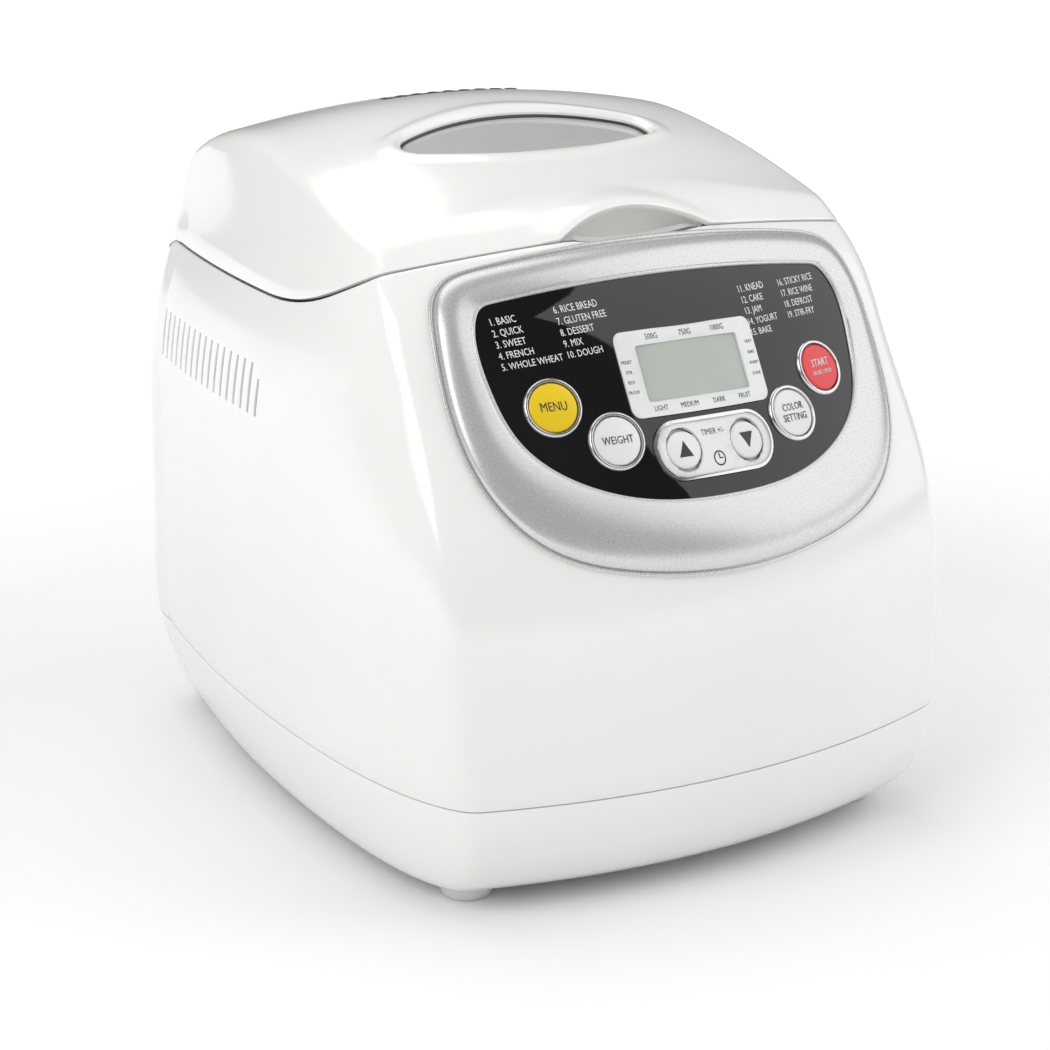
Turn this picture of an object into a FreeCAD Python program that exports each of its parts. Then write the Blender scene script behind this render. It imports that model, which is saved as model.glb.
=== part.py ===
import FreeCAD, Part
import math
import os
from FreeCAD import Vector

# Home bread machine: +X to the right, +Y to the back, +Z up, the front at -Y.
# The origin is on the table, under the centre of the machine.
os.makedirs("parts", exist_ok=True)

# ---- driving dimensions (mm) ------------------------------------------------
WIDTH = 272.0
DEPTH = 335.0
HEIGHT = 295.0
WALL = 2.5
FOOT_HEIGHT = 7.0
SEAM_Z = 49.5
SEAM_GAP = 0.8
RUNNING = 0.05

# The casing is a barrel: (height, half width, front, back, front crease) at each station.
STATIONS = (
    (7.0, 122.0, -146.0, 162.0, 107.0),
    (20.0, 127.5, -159.0, 164.0, 110.0),
    (48.0, 134.0, -167.0, 166.5, 112.5),
    (90.0, WIDTH / 2, -DEPTH / 2 + 1.0, DEPTH / 2, 115.5),
    (150.0, 135.0, -156.0, 166.0, 116.5),
    (205.0, 128.0, -126.5, 163.0, 113.5),
    (235.0, 120.5, -108.0, 161.5, 112.5),
    (256.0, 114.0, -86.0, 155.5, 108.0),
    (274.0, 108.5, -60.0, 140.0, 104.0),
    (297.0, 100.0, -22.0, 100.0, 96.0),
)
FRONT_BOW = 304.0
SIDE_BOW = 780.0
BACK_BOW = 585.0
CORNER_SLOPE = math.tan(math.radians(46.0))
CORNER_REACH = 3.6
BACK_CORNER = 41.0
LEVEL_STEP = 13.0

# The lid splits from the body level at SPLIT_Z, then along this side profile (depth, height) to the front.
SPLIT_Z = 228.0
SPLIT = (
    (0, SPLIT_Z), (-24, 230), (-45, 235.5), (-64, 243), (-78, 250), (-90, 259), (-104, 272), (-200, 372),
)
LID_GAP = 1.2
DECK_T = 2.4
# The roof's middle line, and how far it falls away towards the sides.
ROOF = (
    (-112, 240), (-89, 260), (-56, 271.5), (-13, 284), (18, 291.2), (46, HEIGHT),
    (72, 293.5), (98, 288.5), (122, 279), (143, 264), (157, 246), (168, 222),
)
ROOF_BOW = 480.0

CHAMBER_Y = 28.0
CHAMBER_HALF_X = 93.0
CHAMBER_HALF_Y = 80.0
CHAMBER_FLOOR = 58.0
CHAMBER_TOP = 223.2
CHAMBER_SHEET = 1.2
CHAMBER_CORNER = 14.0

PAN_FLOOR = 82.0
PAN_RIM = 190.0
PAN_HALF_X = 70.0
PAN_HALF_Y = 65.0
PAN_DRAFT = 7.0
PAN_WALL = 1.6
PAN_CORNER = 20.0
HANDLE_Z = 196.0
HANDLE_ARM = 56.0
HANDLE_WIRE = 2.0

SHAFT_R = 5.0
PAN_SHAFT_R = 4.0
PULLEY_Z = 22.0
PULLEY_H = 12.0
LARGE_PULLEY_R = 46.0
SMALL_PULLEY_R = 10.0
BELT_T = 2.0
MOTOR_X = -62.0
MOTOR_Y = -98.0
MOTOR_R = 31.0

HINGE_Y = 150.0
HINGE_Z = 238.0
HINGE_X = 62.0
HINGE_PIN_R = 2.5
HINGE_BRACKET_W = 9.0

BUTTON_R = 9.8
TIMER_BUTTON_R = 7.6
BUTTON_GAP = 0.35
TIMER_Z = 179.0
BUTTONS = (
    ("menu_button", -63.5, 198.6, BUTTON_R),
    ("weight_button", -41.8, 185.0, BUTTON_R),
    ("timer_up_button", -14.8, TIMER_Z, TIMER_BUTTON_R),
    ("timer_down_button", 14.8, TIMER_Z, TIMER_BUTTON_R),
    ("color_button", 41.8, 185.0, BUTTON_R),
    ("start_button", 63.5, 198.6, BUTTON_R),
)
PANEL_T = 1.4
BEZEL_T = 2.4
TAPE_T = 0.3
PANEL_LOW = 150.0
PANEL_TOP = 248.0
BUTTON_PROUD = 3.0
BUTTON_TRAVEL = 1.0
BOARD_DEPTH = 21.0
BOARD_T = 1.6
STEM_R = 3.0
STEM_END = -7.0
LCD_HALF_X = 32.2
LCD_LOW = 191.6
LCD_HIGH = 222.2
LCD_GLASS_HALF_X = 24.0
LCD_GLASS_LOW = 196.8
LCD_GLASS_HIGH = 217.0

GRIP = (34.0, 20.0, 10.0)
GRIP_Y = -96.0
GRIP_Z = 257.0
LINER_RISE = 1.6
LINER_T = 2.4
SEAL_DROP = 0.8
LID_SCREWS = [(x, y) for x in (-98.0, 98.0) for y in (-16.0, 112.0)]

STEAM_HALF_X = 34.0
STEAM_Y0 = 60.0
STEAM_Y1 = 69.0

WINDOW_Y = -2.0
WINDOW_HALF_X = 60.5
WINDOW_HALF_Y = 21.5

VENT_COUNT = 17
VENT_PITCH = 7.6
VENT_FIRST_Y = -3.0
VENT_LOW = 178.5
VENT_HIGH = 199.2
VENT_FIRST_SHORT = 5.5
VENT_W = 2.2

CORD_X = 84.0
CORD_Z = 72.0
FOOT_SPOTS = ((96.0, -112.0), (84.0, 104.0))

# ---- helpers ----------------------------------------------------------------
def save(name, shape):
    shape.exportStep("parts/" + name + ".step")
    print(name, round(shape.Volume / 1000.0, 1), "cm3", len(shape.Solids), shape.isValid())


def box(x0, x1, y0, y1, z0, z1):
    return Part.makeBox(x1 - x0, y1 - y0, z1 - z0, Vector(x0, y0, z0))


def cyl(r, z0, z1, x=0.0, y=0.0):
    return Part.makeCylinder(r, z1 - z0, Vector(x, y, z0))


def tube(r_out, r_in, z0, z1, x=0.0, y=0.0):
    return cyl(r_out, z0, z1, x, y).cut(cyl(r_in, z0 - 1, z1 + 1, x, y))


def rod_x(r, x0, x1, y, z):
    return Part.makeCylinder(r, x1 - x0, Vector(x0, y, z), Vector(1, 0, 0))


def rod_y(r, y0, y1, x, z):
    return Part.makeCylinder(r, y1 - y0, Vector(x, y0, z), Vector(0, 1, 0))


def group(shapes):
    return Part.makeCompound(list(shapes))


def fuse(first, *others):
    return first.multiFuse(list(others)).removeSplitter()


def spline(points):
    curve = Part.BSplineCurve()
    curve.interpolate([Vector(*p) for p in points])
    return curve.toShape()


def bezier(points):
    curve = Part.BezierCurve()
    curve.setPoles([Vector(*p) for p in points])
    return curve.toShape()


def arc(a, b, c):
    return Part.Arc(Vector(*a), Vector(*b), Vector(*c)).toShape()


def line(a, b):
    return Part.makeLine(Vector(*a), Vector(*b))


def elbow(corner, start, end):
    """A quarter-round bend between two points, square to each other about a corner."""
    corner, start, end = Vector(*corner), Vector(*start), Vector(*end)
    middle = corner + (start + end - corner * 2) * (1 - math.sqrt(0.5))
    return Part.Arc(start, middle, end).toShape()


def smooth(pairs):
    """A smooth function through (position, value) pairs."""
    curve = Part.BSplineCurve()
    curve.interpolate([Vector(v, 0, 0) for _, v in pairs], Parameters=[p for p, _ in pairs])
    return lambda p: curve.value(p).x


def station(column_number):
    return smooth([(row[0], row[column_number]) for row in STATIONS])


half_width = station(1)
front_line = station(2)
back_line = station(3)
crease_line = station(4)
roof_line = smooth(ROOF)


def lean(z):
    """How fast the front goes back with height."""
    step = 0.5
    return (front_line(z + step) - front_line(z - step)) / (2 * step)


def front_y(x, z):
    return front_line(z) + x * x / (2 * FRONT_BOW)


def front_normal(x, z):
    return Vector(x / FRONT_BOW, -1, lean(z)).normalize()


def front_point(x, z, out=0.0):
    return Vector(x, front_y(x, z), z) + front_normal(x, z) * out


def section(z, inset):
    """The casing's closed plan outline at a height, moved in by the inset."""
    w = half_width(z) - inset
    back = back_line(z) - inset
    crease_x = crease_line(z) - 0.6 * inset
    front = front_line(z) + inset * math.hypot(1, lean(z))
    crease_y = front + crease_x ** 2 / (2 * FRONT_BOW)
    corner_y = crease_y + (w - crease_x) * CORNER_SLOPE
    side_y = corner_y + CORNER_REACH * (w - crease_x) + 12
    back_corner = BACK_CORNER - inset
    turn_y = back - back_corner
    turn_x = w - (turn_y - side_y) ** 2 / (2 * SIDE_BOW)
    flat_x = turn_x - back_corner
    flat_y = back - flat_x ** 2 / (2 * BACK_BOW)
    mid_y = (side_y + turn_y) / 2
    mid_x = w - (mid_y - side_y) ** 2 / (2 * SIDE_BOW)
    edges = [arc((-crease_x, crease_y, z), (0, front, z), (crease_x, crease_y, z))]
    for s in (1, -1):
        half = [
            bezier([(s * crease_x, crease_y, z), (s * w, corner_y, z), (s * w, side_y, z)]),
            arc((s * w, side_y, z), (s * mid_x, mid_y, z), (s * turn_x, turn_y, z)),
            bezier([(s * turn_x, turn_y, z), (s * turn_x, flat_y, z), (s * flat_x, flat_y, z)]),
        ]
        if s == 1:
            edges += half + [arc((flat_x, flat_y, z), (0, back, z), (-flat_x, flat_y, z))]
        else:
            edges += half[::-1]
    return Part.Wire(Part.__sortEdges__(edges))


def column(inset, z0, z1):
    """The barrel casing as a solid from z0 to z1, moved in by the inset."""
    steps = max(2, round((z1 - z0) / LEVEL_STEP))
    levels = [z0 + (z1 - z0) * i / steps for i in range(steps + 1)]
    return Part.makeLoft([section(z, inset) for z in levels], True, False)


def under_split(drop):
    """Everything under the split line, lowered by drop, across the whole width."""
    pts = [Vector(-WIDTH, y, z - drop) for y, z in SPLIT]
    curve = Part.BSplineCurve()
    curve.interpolate(pts[:-1], InitialTangent=Vector(0, -1, 0), FinalTangent=pts[-1] - pts[-2])
    back = Vector(-WIDTH, DEPTH, pts[0].z)
    low_back, low_front = Vector(-WIDTH, DEPTH, -20), Vector(-WIDTH, pts[-1].y, -20)
    wire = Part.Wire([
        Part.makeLine(back, pts[0]),
        curve.toShape(),
        Part.makeLine(pts[-2], pts[-1]),
        Part.makeLine(pts[-1], low_front),
        Part.makeLine(low_front, low_back),
        Part.makeLine(low_back, back),
    ])
    return Part.Face(wire).extrude(Vector(2 * WIDTH, 0, 0))


def roof_solid(inset):
    """Everything under the crowned roof, moved down by the inset."""
    half = WIDTH / 2
    ribs = []
    y0, y1 = ROOF[0][0], ROOF[-1][0]
    steps = round((y1 - y0) / LEVEL_STEP)
    for i in range(steps + 1):
        y = y0 + (y1 - y0) * i / steps
        top = roof_line(y) - inset
        side = top - half ** 2 / (2 * ROOF_BOW)
        rib = [
            arc((-half, y, side), (0, y, top), (half, y, side)),
            line((half, y, side), (half, y, 150)),
            line((half, y, 150), (-half, y, 150)),
            line((-half, y, 150), (-half, y, side)),
        ]
        ribs.append(Part.Wire(rib))
    return Part.makeLoft(ribs, True, False)


def front_sheet(inner, outer, z0, z1, half):
    """A curved sheet that follows the casing's front, between two distances out from it."""
    wires = []
    steps = 7
    for i in range(steps):
        z = z0 + (z1 - z0) * i / (steps - 1)
        k = math.hypot(1, lean(z))
        end = half ** 2 / (2 * FRONT_BOW)
        yi, yo = front_line(z) - inner * k, front_line(z) - outer * k
        wires.append(Part.Wire([
            arc((-half, yo + end, z), (0, yo, z), (half, yo + end, z)),
            line((half, yo + end, z), (half, yi + end, z)),
            arc((half, yi + end, z), (0, yi, z), (-half, yi + end, z)),
            line((-half, yi + end, z), (-half, yo + end, z)),
        ]))
    return Part.makeLoft(wires, True, False)


def front_prism(wire):
    """A front outline drawn at y = -300, carried straight back."""
    return Part.Face(wire).extrude(Vector(0, 300, 0))


def shield(half_top, top_z, arch, sides, bottom):
    """A shield outline: an arched top, then one curve down, round the bottom and up again."""
    y = -300
    right = [(half_top, y, top_z)] + [(x, y, z) for x, z in sides]
    left = [(-x, y, z) for x, y, z in right[::-1]]
    top = arc((-half_top, y, top_z), (0, y, top_z + arch), (half_top, y, top_z))
    return Part.Wire([top, spline(right + [(0, y, bottom)] + left)])


def pill(half_x, z_mid, half_z):
    y = -300
    inner = half_x - half_z
    return Part.Wire([
        line((-inner, y, z_mid + half_z), (inner, y, z_mid + half_z)),
        arc((inner, y, z_mid + half_z), (half_x, y, z_mid), (inner, y, z_mid - half_z)),
        line((inner, y, z_mid - half_z), (-inner, y, z_mid - half_z)),
        arc((-inner, y, z_mid - half_z), (-half_x, y, z_mid), (-inner, y, z_mid + half_z)),
    ])


def panel_wire(x0, x1, z0, z1):
    corners = ((x0, z0), (x1, z0), (x1, z1), (x0, z1), (x0, z0))
    return Part.makePolygon([Vector(x, -300, z) for x, z in corners])


def on_front(x, z, r, inner, outer):
    """A cylinder square to the front, between two distances out from it."""
    n = front_normal(x, z)
    return Part.makeCylinder(r, outer - inner, front_point(x, z, inner), n)


def rounded(half_x, half_y, r, z, y_mid=0.0, x_mid=0.0):
    """A rounded rectangle wire at a height."""
    x0, x1, y0, y1 = x_mid - half_x, x_mid + half_x, y_mid - half_y, y_mid + half_y
    k = r * (1 - math.sqrt(0.5))
    return Part.Wire([
        line((x0 + r, y0, z), (x1 - r, y0, z)),
        arc((x1 - r, y0, z), (x1 - k, y0 + k, z), (x1, y0 + r, z)),
        line((x1, y0 + r, z), (x1, y1 - r, z)),
        arc((x1, y1 - r, z), (x1 - k, y1 - k, z), (x1 - r, y1, z)),
        line((x1 - r, y1, z), (x0 + r, y1, z)),
        arc((x0 + r, y1, z), (x0 + k, y1 - k, z), (x0, y1 - r, z)),
        line((x0, y1 - r, z), (x0, y0 + r, z)),
        arc((x0, y0 + r, z), (x0 + k, y0 + k, z), (x0 + r, y0, z)),
    ])


def block(half_x, half_y, r, z0, z1, y_mid=0.0, x_mid=0.0):
    return Part.Face(rounded(half_x, half_y, r, z0, y_mid, x_mid)).extrude(Vector(0, 0, z1 - z0))


def tub(half_x, half_y, draft, r, z0, z1, y_mid):
    """A tapered rounded box, wider at the top by the draft."""
    low = rounded(half_x - draft, half_y - draft, r, z0, y_mid)
    high = rounded(half_x, half_y, r, z1, y_mid)
    return Part.makeLoft([low, high], True, True)


def eye(half_x, half_y, z0, z1, y_mid):
    """An eye-shaped prism: two shallow arcs meeting in small rounded ends."""
    end = 0.93 * half_x
    rise = 0.42 * half_y
    wire = Part.Wire([
        arc((-end, y_mid + rise, z0), (0, y_mid + half_y, z0), (end, y_mid + rise, z0)),
        arc((end, y_mid + rise, z0), (half_x, y_mid, z0), (end, y_mid - rise, z0)),
        arc((end, y_mid - rise, z0), (0, y_mid - half_y, z0), (-end, y_mid - rise, z0)),
        arc((-end, y_mid - rise, z0), (-half_x, y_mid, z0), (-end, y_mid + rise, z0)),
    ])
    return Part.Face(wire).extrude(Vector(0, 0, z1 - z0))


def screw(x, y, z_head, length, up):
    """A pan-head screw: its head at z_head, its shank along up (+1 or -1)."""
    head = Part.makeCylinder(3.4, 2.2, Vector(x, y, z_head), Vector(0, 0, up))
    shank = Part.makeCylinder(1.9, length, Vector(x, y, z_head + up * 2.2), Vector(0, 0, up))
    slot = Part.makeBox(4.6, 0.9, 1.2, Vector(x - 2.3, y - 0.45, z_head - (0.1 if up > 0 else 1.1)))
    return head.fuse(shank).cut(slot)


# ---- the casing -------------------------------------------------------------
BEZEL_SIDE = ((97, 240), (102, 222), (103.5, 197), (99, 172), (84, 152), (48, 138))
BEZEL_OUTLINE = shield(86, 245.5, 7.5, BEZEL_SIDE, 133.5)
PANEL_OUTLINE = shield(81, 236, 6.0, ((85, 231), (87, 208), (81, 186), (58, 168)), 159.5)
OPENING_OUTLINE = shield(76, 230, 6.0, ((79.5, 226), (81, 207), (75, 189), (53, 173.5)), 165)

split_body = under_split(LID_GAP)
split_lid = under_split(0.0)
back_dip = box(-WIDTH, WIDTH, HINGE_Y - 17, DEPTH, 223.5, 400)
slots = []
for i in range(VENT_COUNT):
    y = VENT_FIRST_Y + i * VENT_PITCH
    high = VENT_HIGH - (VENT_FIRST_SHORT if i == 0 else 0.0)
    for s in (1, -1):
        slots.append(box(s * 126 - 16, s * 126 + 16, y - VENT_W / 2, y + VENT_W / 2, VENT_LOW, high))

barrel = column(0, SEAM_Z + SEAM_GAP, 297)
barrel_inner = column(WALL, SEAM_Z + SEAM_GAP - 4, 297)
shell = barrel.common(split_body).cut(barrel_inner).cut(back_dip).cut(front_prism(OPENING_OUTLINE))
shell = shell.cut(group(slots))
shell = shell.cut(rod_y(7.0, 140, 180, CORD_X, CORD_Z))
save("body_shell", shell)

tray = column(0, FOOT_HEIGHT, SEAM_Z).cut(column(WALL, FOOT_HEIGHT + WALL, SEAM_Z + 5))
FEET = [(s * x, y) for s in (-1, 1) for x, y in FOOT_SPOTS]
posts = [tube(6.5, 2.1, FOOT_HEIGHT + 1, SEAM_Z + 0.5, x, y) for x, y in FEET]
tray = fuse(tray, *posts)
floor_slots = [box(x - 2, x + 2, -60, -20, 0, 12) for x in range(40, 92, 10)]
tray = tray.cut(group([cyl(2.1, 0, 20, x, y) for x, y in FEET] + floor_slots))
save("base_tray", tray)

pads = []
for x, y in FEET:
    cone = Part.makeCone(10.0, 13.0, FOOT_HEIGHT, Vector(x, y, 0))
    pads.append(cone.cut(cyl(4.2, -1, 4.0, x, y)).cut(cyl(2.1, -1, 20, x, y)))
save("foot_pads", group(pads))
save("base_screws", group([screw(x, y, 1.8, 30.0, 1) for x, y in FEET]))

deck_solid = column(WALL + 0.4, SEAM_Z + 40, 297)
deck = deck_solid.common(under_split(LID_GAP + 1.0)).cut(under_split(LID_GAP + 1.0 + DECK_T))
mouth = block(CHAMBER_HALF_X - 2, CHAMBER_HALF_Y - 2, CHAMBER_CORNER - 2, 180, 280, CHAMBER_Y)
deck = deck.cut(mouth).cut(box(-WIDTH, WIDTH, HINGE_Y - 17, DEPTH, 222.0, 400))
back_step = box(-150, 150, HINGE_Y - 17, 170, 219.0, 221.4).common(deck_solid)
riser = box(-150, 150, HINGE_Y - 19.4, HINGE_Y - 17, 219.0, 225.0).common(deck_solid)
deck = fuse(deck, back_step, riser)
save("top_deck", deck)

# ---- the chassis and baking chamber -----------------------------------------
plate_z = SEAM_Z + 0.5
plate = column(WALL + 3.0, plate_z, plate_z + 2.5)
plate_holes = [cyl(11.0, 0, 90, 0, CHAMBER_Y), cyl(9.0, 0, 90, MOTOR_X, MOTOR_Y)]
plate = plate.cut(group(plate_holes + [cyl(2.1, 0, 90, x, y) for x, y in FEET]))
save("chassis_plate", plate)

plate_top = plate_z + 2.5
chamber = block(CHAMBER_HALF_X, CHAMBER_HALF_Y, CHAMBER_CORNER, CHAMBER_FLOOR, CHAMBER_TOP, CHAMBER_Y)
hollow_x, hollow_y = CHAMBER_HALF_X - CHAMBER_SHEET, CHAMBER_HALF_Y - CHAMBER_SHEET
hollow_corner = CHAMBER_CORNER - CHAMBER_SHEET
floor_top = CHAMBER_FLOOR + CHAMBER_SHEET
hollow = block(hollow_x, hollow_y, hollow_corner, floor_top, CHAMBER_TOP + 5, CHAMBER_Y)
chamber = chamber.cut(hollow).cut(cyl(20.0, 0, 90, 0, CHAMBER_Y))
ELEMENT_Z = 76.0
ELEMENT_R = 3.5
ELEMENT_END_X = 22.0
front_wall_y = CHAMBER_Y - CHAMBER_HALF_Y
SENSOR_Z = 120.0
wall_holes = [rod_y(3.1, front_wall_y - 8, front_wall_y + 12, 0, SENSOR_Z)]
for x in (-ELEMENT_END_X, ELEMENT_END_X):
    wall_holes.append(rod_y(ELEMENT_R + 0.5, front_wall_y - 8, front_wall_y + 12, x, ELEMENT_Z))
chamber = chamber.cut(group(wall_holes))
save("baking_chamber", chamber)

corners = [(sx * 70, CHAMBER_Y + sy * 58) for sx in (-1, 1) for sy in (-1, 1)]
standoffs = [cyl(6.0, plate_top, CHAMBER_FLOOR, x, y) for x, y in corners]
save("chamber_standoffs", group(standoffs))

loop_x = CHAMBER_HALF_X - 11
loop_front = CHAMBER_Y - CHAMBER_HALF_Y + 11
loop_back = CHAMBER_Y + CHAMBER_HALF_Y - 11
tail_y = front_wall_y - 16
path = [
    (-ELEMENT_END_X, loop_front - 6, ELEMENT_Z),
    (-ELEMENT_END_X - 6, loop_front, ELEMENT_Z),
    (-loop_x + 22, loop_front, ELEMENT_Z),
    (-loop_x, loop_front + 22, ELEMENT_Z),
    (-loop_x, loop_back - 22, ELEMENT_Z),
    (-loop_x + 22, loop_back, ELEMENT_Z),
]
edges = [line((-ELEMENT_END_X, tail_y, ELEMENT_Z), path[0])]
corners = [(-ELEMENT_END_X, loop_front), (-loop_x, loop_front), (-loop_x, loop_back)]
for i, (x, y) in enumerate(corners):
    edges.append(elbow((x, y, ELEMENT_Z), path[2 * i], path[2 * i + 1]))
    if i < 2:
        edges.append(line(path[2 * i + 1], path[2 * i + 2]))
mirrored = Part.Wire(edges).mirror(Vector(0, 0, 0), Vector(1, 0, 0))
across = line(path[-1], (loop_x - 22, loop_back, ELEMENT_Z))
loop = Part.Wire(Part.__sortEdges__(edges + [across] + mirrored.Edges))
ring = Part.Wire(Part.makeCircle(ELEMENT_R, Vector(-ELEMENT_END_X, tail_y, ELEMENT_Z), Vector(0, 1, 0)))
save("heating_element", loop.makePipeShell([ring], True, False, 2))

terminals = []
for x in (-ELEMENT_END_X, ELEMENT_END_X):
    collar = rod_y(6.0, front_wall_y - 5, front_wall_y, x, ELEMENT_Z)
    tab = box(x - 3.2, x + 3.2, front_wall_y - 27, tail_y, ELEMENT_Z - 0.4, ELEMENT_Z + 0.4)
    terminals += [collar.cut(rod_y(ELEMENT_R, front_wall_y - 20, front_wall_y + 10, x, ELEMENT_Z)), tab]
save("element_terminals", group(terminals))

clip_posts = []
for x, y in ((-loop_x, CHAMBER_Y), (loop_x, CHAMBER_Y), (0, loop_back)):
    post = box(x - 4, x + 4, y - 4, y + 4, floor_top, ELEMENT_Z + 1)
    if x:
        groove = rod_y(ELEMENT_R, y - 10, y + 10, x, ELEMENT_Z)
    else:
        groove = rod_x(ELEMENT_R, -10, 10, y, ELEMENT_Z)
    clip_posts.append(post.cut(groove))
save("element_supports", group(clip_posts))

probe = rod_y(3.0, front_wall_y - 12, front_wall_y + 10, 0, SENSOR_Z)
flange = rod_y(7.0, front_wall_y - 2, front_wall_y, 0, SENSOR_Z)
save("temperature_sensor", probe.fuse(flange))

# ---- drive under the pan ----------------------------------------------------
socket = tube(34.0, 29.0, floor_top, floor_top + 12, 0, CHAMBER_Y)
socket_flange = tube(34.0, 20.0, floor_top, floor_top + 1.6, 0, CHAMBER_Y)
save("pan_socket", fuse(socket, socket_flange))

bush = tube(11.0, SHAFT_R + RUNNING, plate_z - 8, plate_top + 3, 0, CHAMBER_Y)
bush = fuse(bush, tube(17.0, 11.0, plate_top, plate_top + 3, 0, CHAMBER_Y))
save("drive_bearing", bush)

save("drive_shaft", cyl(SHAFT_R, PULLEY_Z - 6, 72.0, 0, CHAMBER_Y))


def pulley(r, x, y, bore, lightened):
    """A V-belt pulley with two flanges, and spokes where it is large."""
    z0, z1 = PULLEY_Z, PULLEY_Z + PULLEY_H
    body = cyl(r + 2.5, z0, z0 + 1.6, x, y).fuse(cyl(r + 2.5, z1 - 1.6, z1, x, y))
    body = body.fuse(cyl(r, z0, z1, x, y)).fuse(cyl(bore + 4.5, z0 - 3, z1 + 2, x, y))
    cuts = [cyl(bore, z0 - 5, z1 + 5, x, y)]
    if lightened:
        for i in range(5):
            a = math.radians(72 * i + 36)
            cuts.append(cyl(9.5, z0 - 5, z1 + 5, x + 27 * math.cos(a), y + 27 * math.sin(a)))
    return body.cut(group(cuts)).removeSplitter()


save("large_pulley", pulley(LARGE_PULLEY_R, 0, CHAMBER_Y, SHAFT_R, True))
save("motor_pulley", pulley(SMALL_PULLEY_R, MOTOR_X, MOTOR_Y, PAN_SHAFT_R, False))
save("motor_shaft", cyl(PAN_SHAFT_R, PULLEY_Z - 4, 66.0, MOTOR_X, MOTOR_Y))


def belt_outline(extra, z):
    """The two-pulley belt path, a distance out from both pulleys."""
    dx, dy = MOTOR_X, MOTOR_Y - CHAMBER_Y
    span = math.hypot(dx, dy)
    base = math.atan2(dy, dx)
    swing = math.acos((LARGE_PULLEY_R - SMALL_PULLEY_R) / span)
    r_big, r_small = LARGE_PULLEY_R + extra, SMALL_PULLEY_R + extra

    def at(cx, cy, r, a):
        return (cx + r * math.cos(a), cy + r * math.sin(a), z)

    big = [at(0, CHAMBER_Y, r_big, a) for a in (base + swing, base + math.pi, base - swing)]
    small = [at(MOTOR_X, MOTOR_Y, r_small, a) for a in (base - swing, base, base + swing)]
    return Part.Wire([arc(*big), line(big[2], small[0]), arc(*small), line(small[2], big[0])])


belt_z0 = PULLEY_Z + 2.2
belt_h = PULLEY_H - 4.4
outer = Part.Face(belt_outline(0.3 + BELT_T, belt_z0)).extrude(Vector(0, 0, belt_h))
inner = Part.Face(belt_outline(0.3, belt_z0)).extrude(Vector(0, 0, belt_h))
save("drive_belt", outer.cut(inner))

LUG_R0, LUG_R1 = 6.5, 12.0


def dogs(z0, z1, turn):
    """Two opposite lugs of a dog coupling."""
    lugs = []
    for s in (0, 180):
        lug = Part.makeBox(LUG_R1 - LUG_R0, 6.0, z1 - z0, Vector(LUG_R0, -3.0, z0))
        lug.rotate(Vector(0, 0, 0), Vector(0, 0, 1), turn + s)
        lug.translate(Vector(0, CHAMBER_Y, 0))
        lugs.append(lug)
    return lugs


coupling = cyl(13.0, 62.5, 66.0, 0, CHAMBER_Y).cut(cyl(SHAFT_R, 50, 80, 0, CHAMBER_Y))
save("drive_coupling", fuse(coupling, *dogs(65.9, 73.0, 0)))

motor = cyl(MOTOR_R, plate_top + 4, plate_top + 62, MOTOR_X, MOTOR_Y)
lamination = box(MOTOR_X - 29, MOTOR_X + 29, MOTOR_Y - 29, MOTOR_Y + 29, plate_top + 18, plate_top + 44)
nose = cyl(10.0, plate_top, plate_top + 5, MOTOR_X, MOTOR_Y)
motor = fuse(motor, lamination, nose).cut(cyl(PAN_SHAFT_R + RUNNING, 0, 67.0, MOTOR_X, MOTOR_Y))
save("motor_body", motor)
mount_spots = [(MOTOR_X + sx * 36.5, MOTOR_Y + sy * 14) for sx in (-1, 1) for sy in (-1, 1)]
bracket = box(MOTOR_X - 42, MOTOR_X + 42, MOTOR_Y - 20, MOTOR_Y + 20, plate_top, plate_top + 4)
bracket_holes = [cyl(2.0, 0, 90, x, y) for x, y in mount_spots]
bracket = bracket.cut(group(bracket_holes + [cyl(10.0, 0, 90, MOTOR_X, MOTOR_Y)]))
save("motor_bracket", bracket)
save("motor_screws", group([screw(x, y, plate_top + 6.2, 3.9, -1) for x, y in mount_spots]))
capacitor = rod_x(14, 30, 82, -104, plate_top + 16)
clamp = box(50, 60, -120, -88, plate_top, plate_top + 32).cut(capacitor)
save("motor_capacitor", group([capacitor, clamp]))

save("power_board", box(18, 104, -67.6, -66, plate_top + 40, plate_top + 110))
parts_on_board = [
    box(26, 44, -84, -67.6, plate_top + 48, plate_top + 66),
    box(60, 96, -92, -67.6, plate_top + 50, plate_top + 80),
    rod_y(6, -82.6, -67.6, 34, plate_top + 90),
]
save("power_components", group(parts_on_board))

# ---- front panel ------------------------------------------------------------
bezel_sheet = front_sheet(TAPE_T, BEZEL_T, 128, 258, 110)
bezel = bezel_sheet.common(front_prism(BEZEL_OUTLINE)).cut(front_prism(PANEL_OUTLINE))
save("bezel", bezel)

panel = front_sheet(TAPE_T, PANEL_T, PANEL_LOW, PANEL_TOP, 100).common(front_prism(PANEL_OUTLINE))
lcd_window = panel_wire(-LCD_GLASS_HALF_X, LCD_GLASS_HALF_X, LCD_GLASS_LOW, LCD_GLASS_HIGH)
holes = [on_front(x, z, r + BUTTON_GAP, -8, 8) for _, x, z, r in BUTTONS]
panel = panel.cut(group(holes)).cut(front_prism(lcd_window))
save("control_panel", panel)

lcd_outline = panel_wire(-LCD_HALF_X, LCD_HALF_X, LCD_LOW, LCD_HIGH)
frame = front_sheet(PANEL_T, PANEL_T + 0.8, PANEL_LOW, PANEL_TOP, 100)
save("lcd_frame", frame.common(front_prism(lcd_outline)).cut(front_prism(lcd_window)))
screen = front_sheet(-3.0, PANEL_T + 0.3, PANEL_LOW, PANEL_TOP, 100).common(front_prism(lcd_window))
save("lcd_screen", screen)

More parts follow.
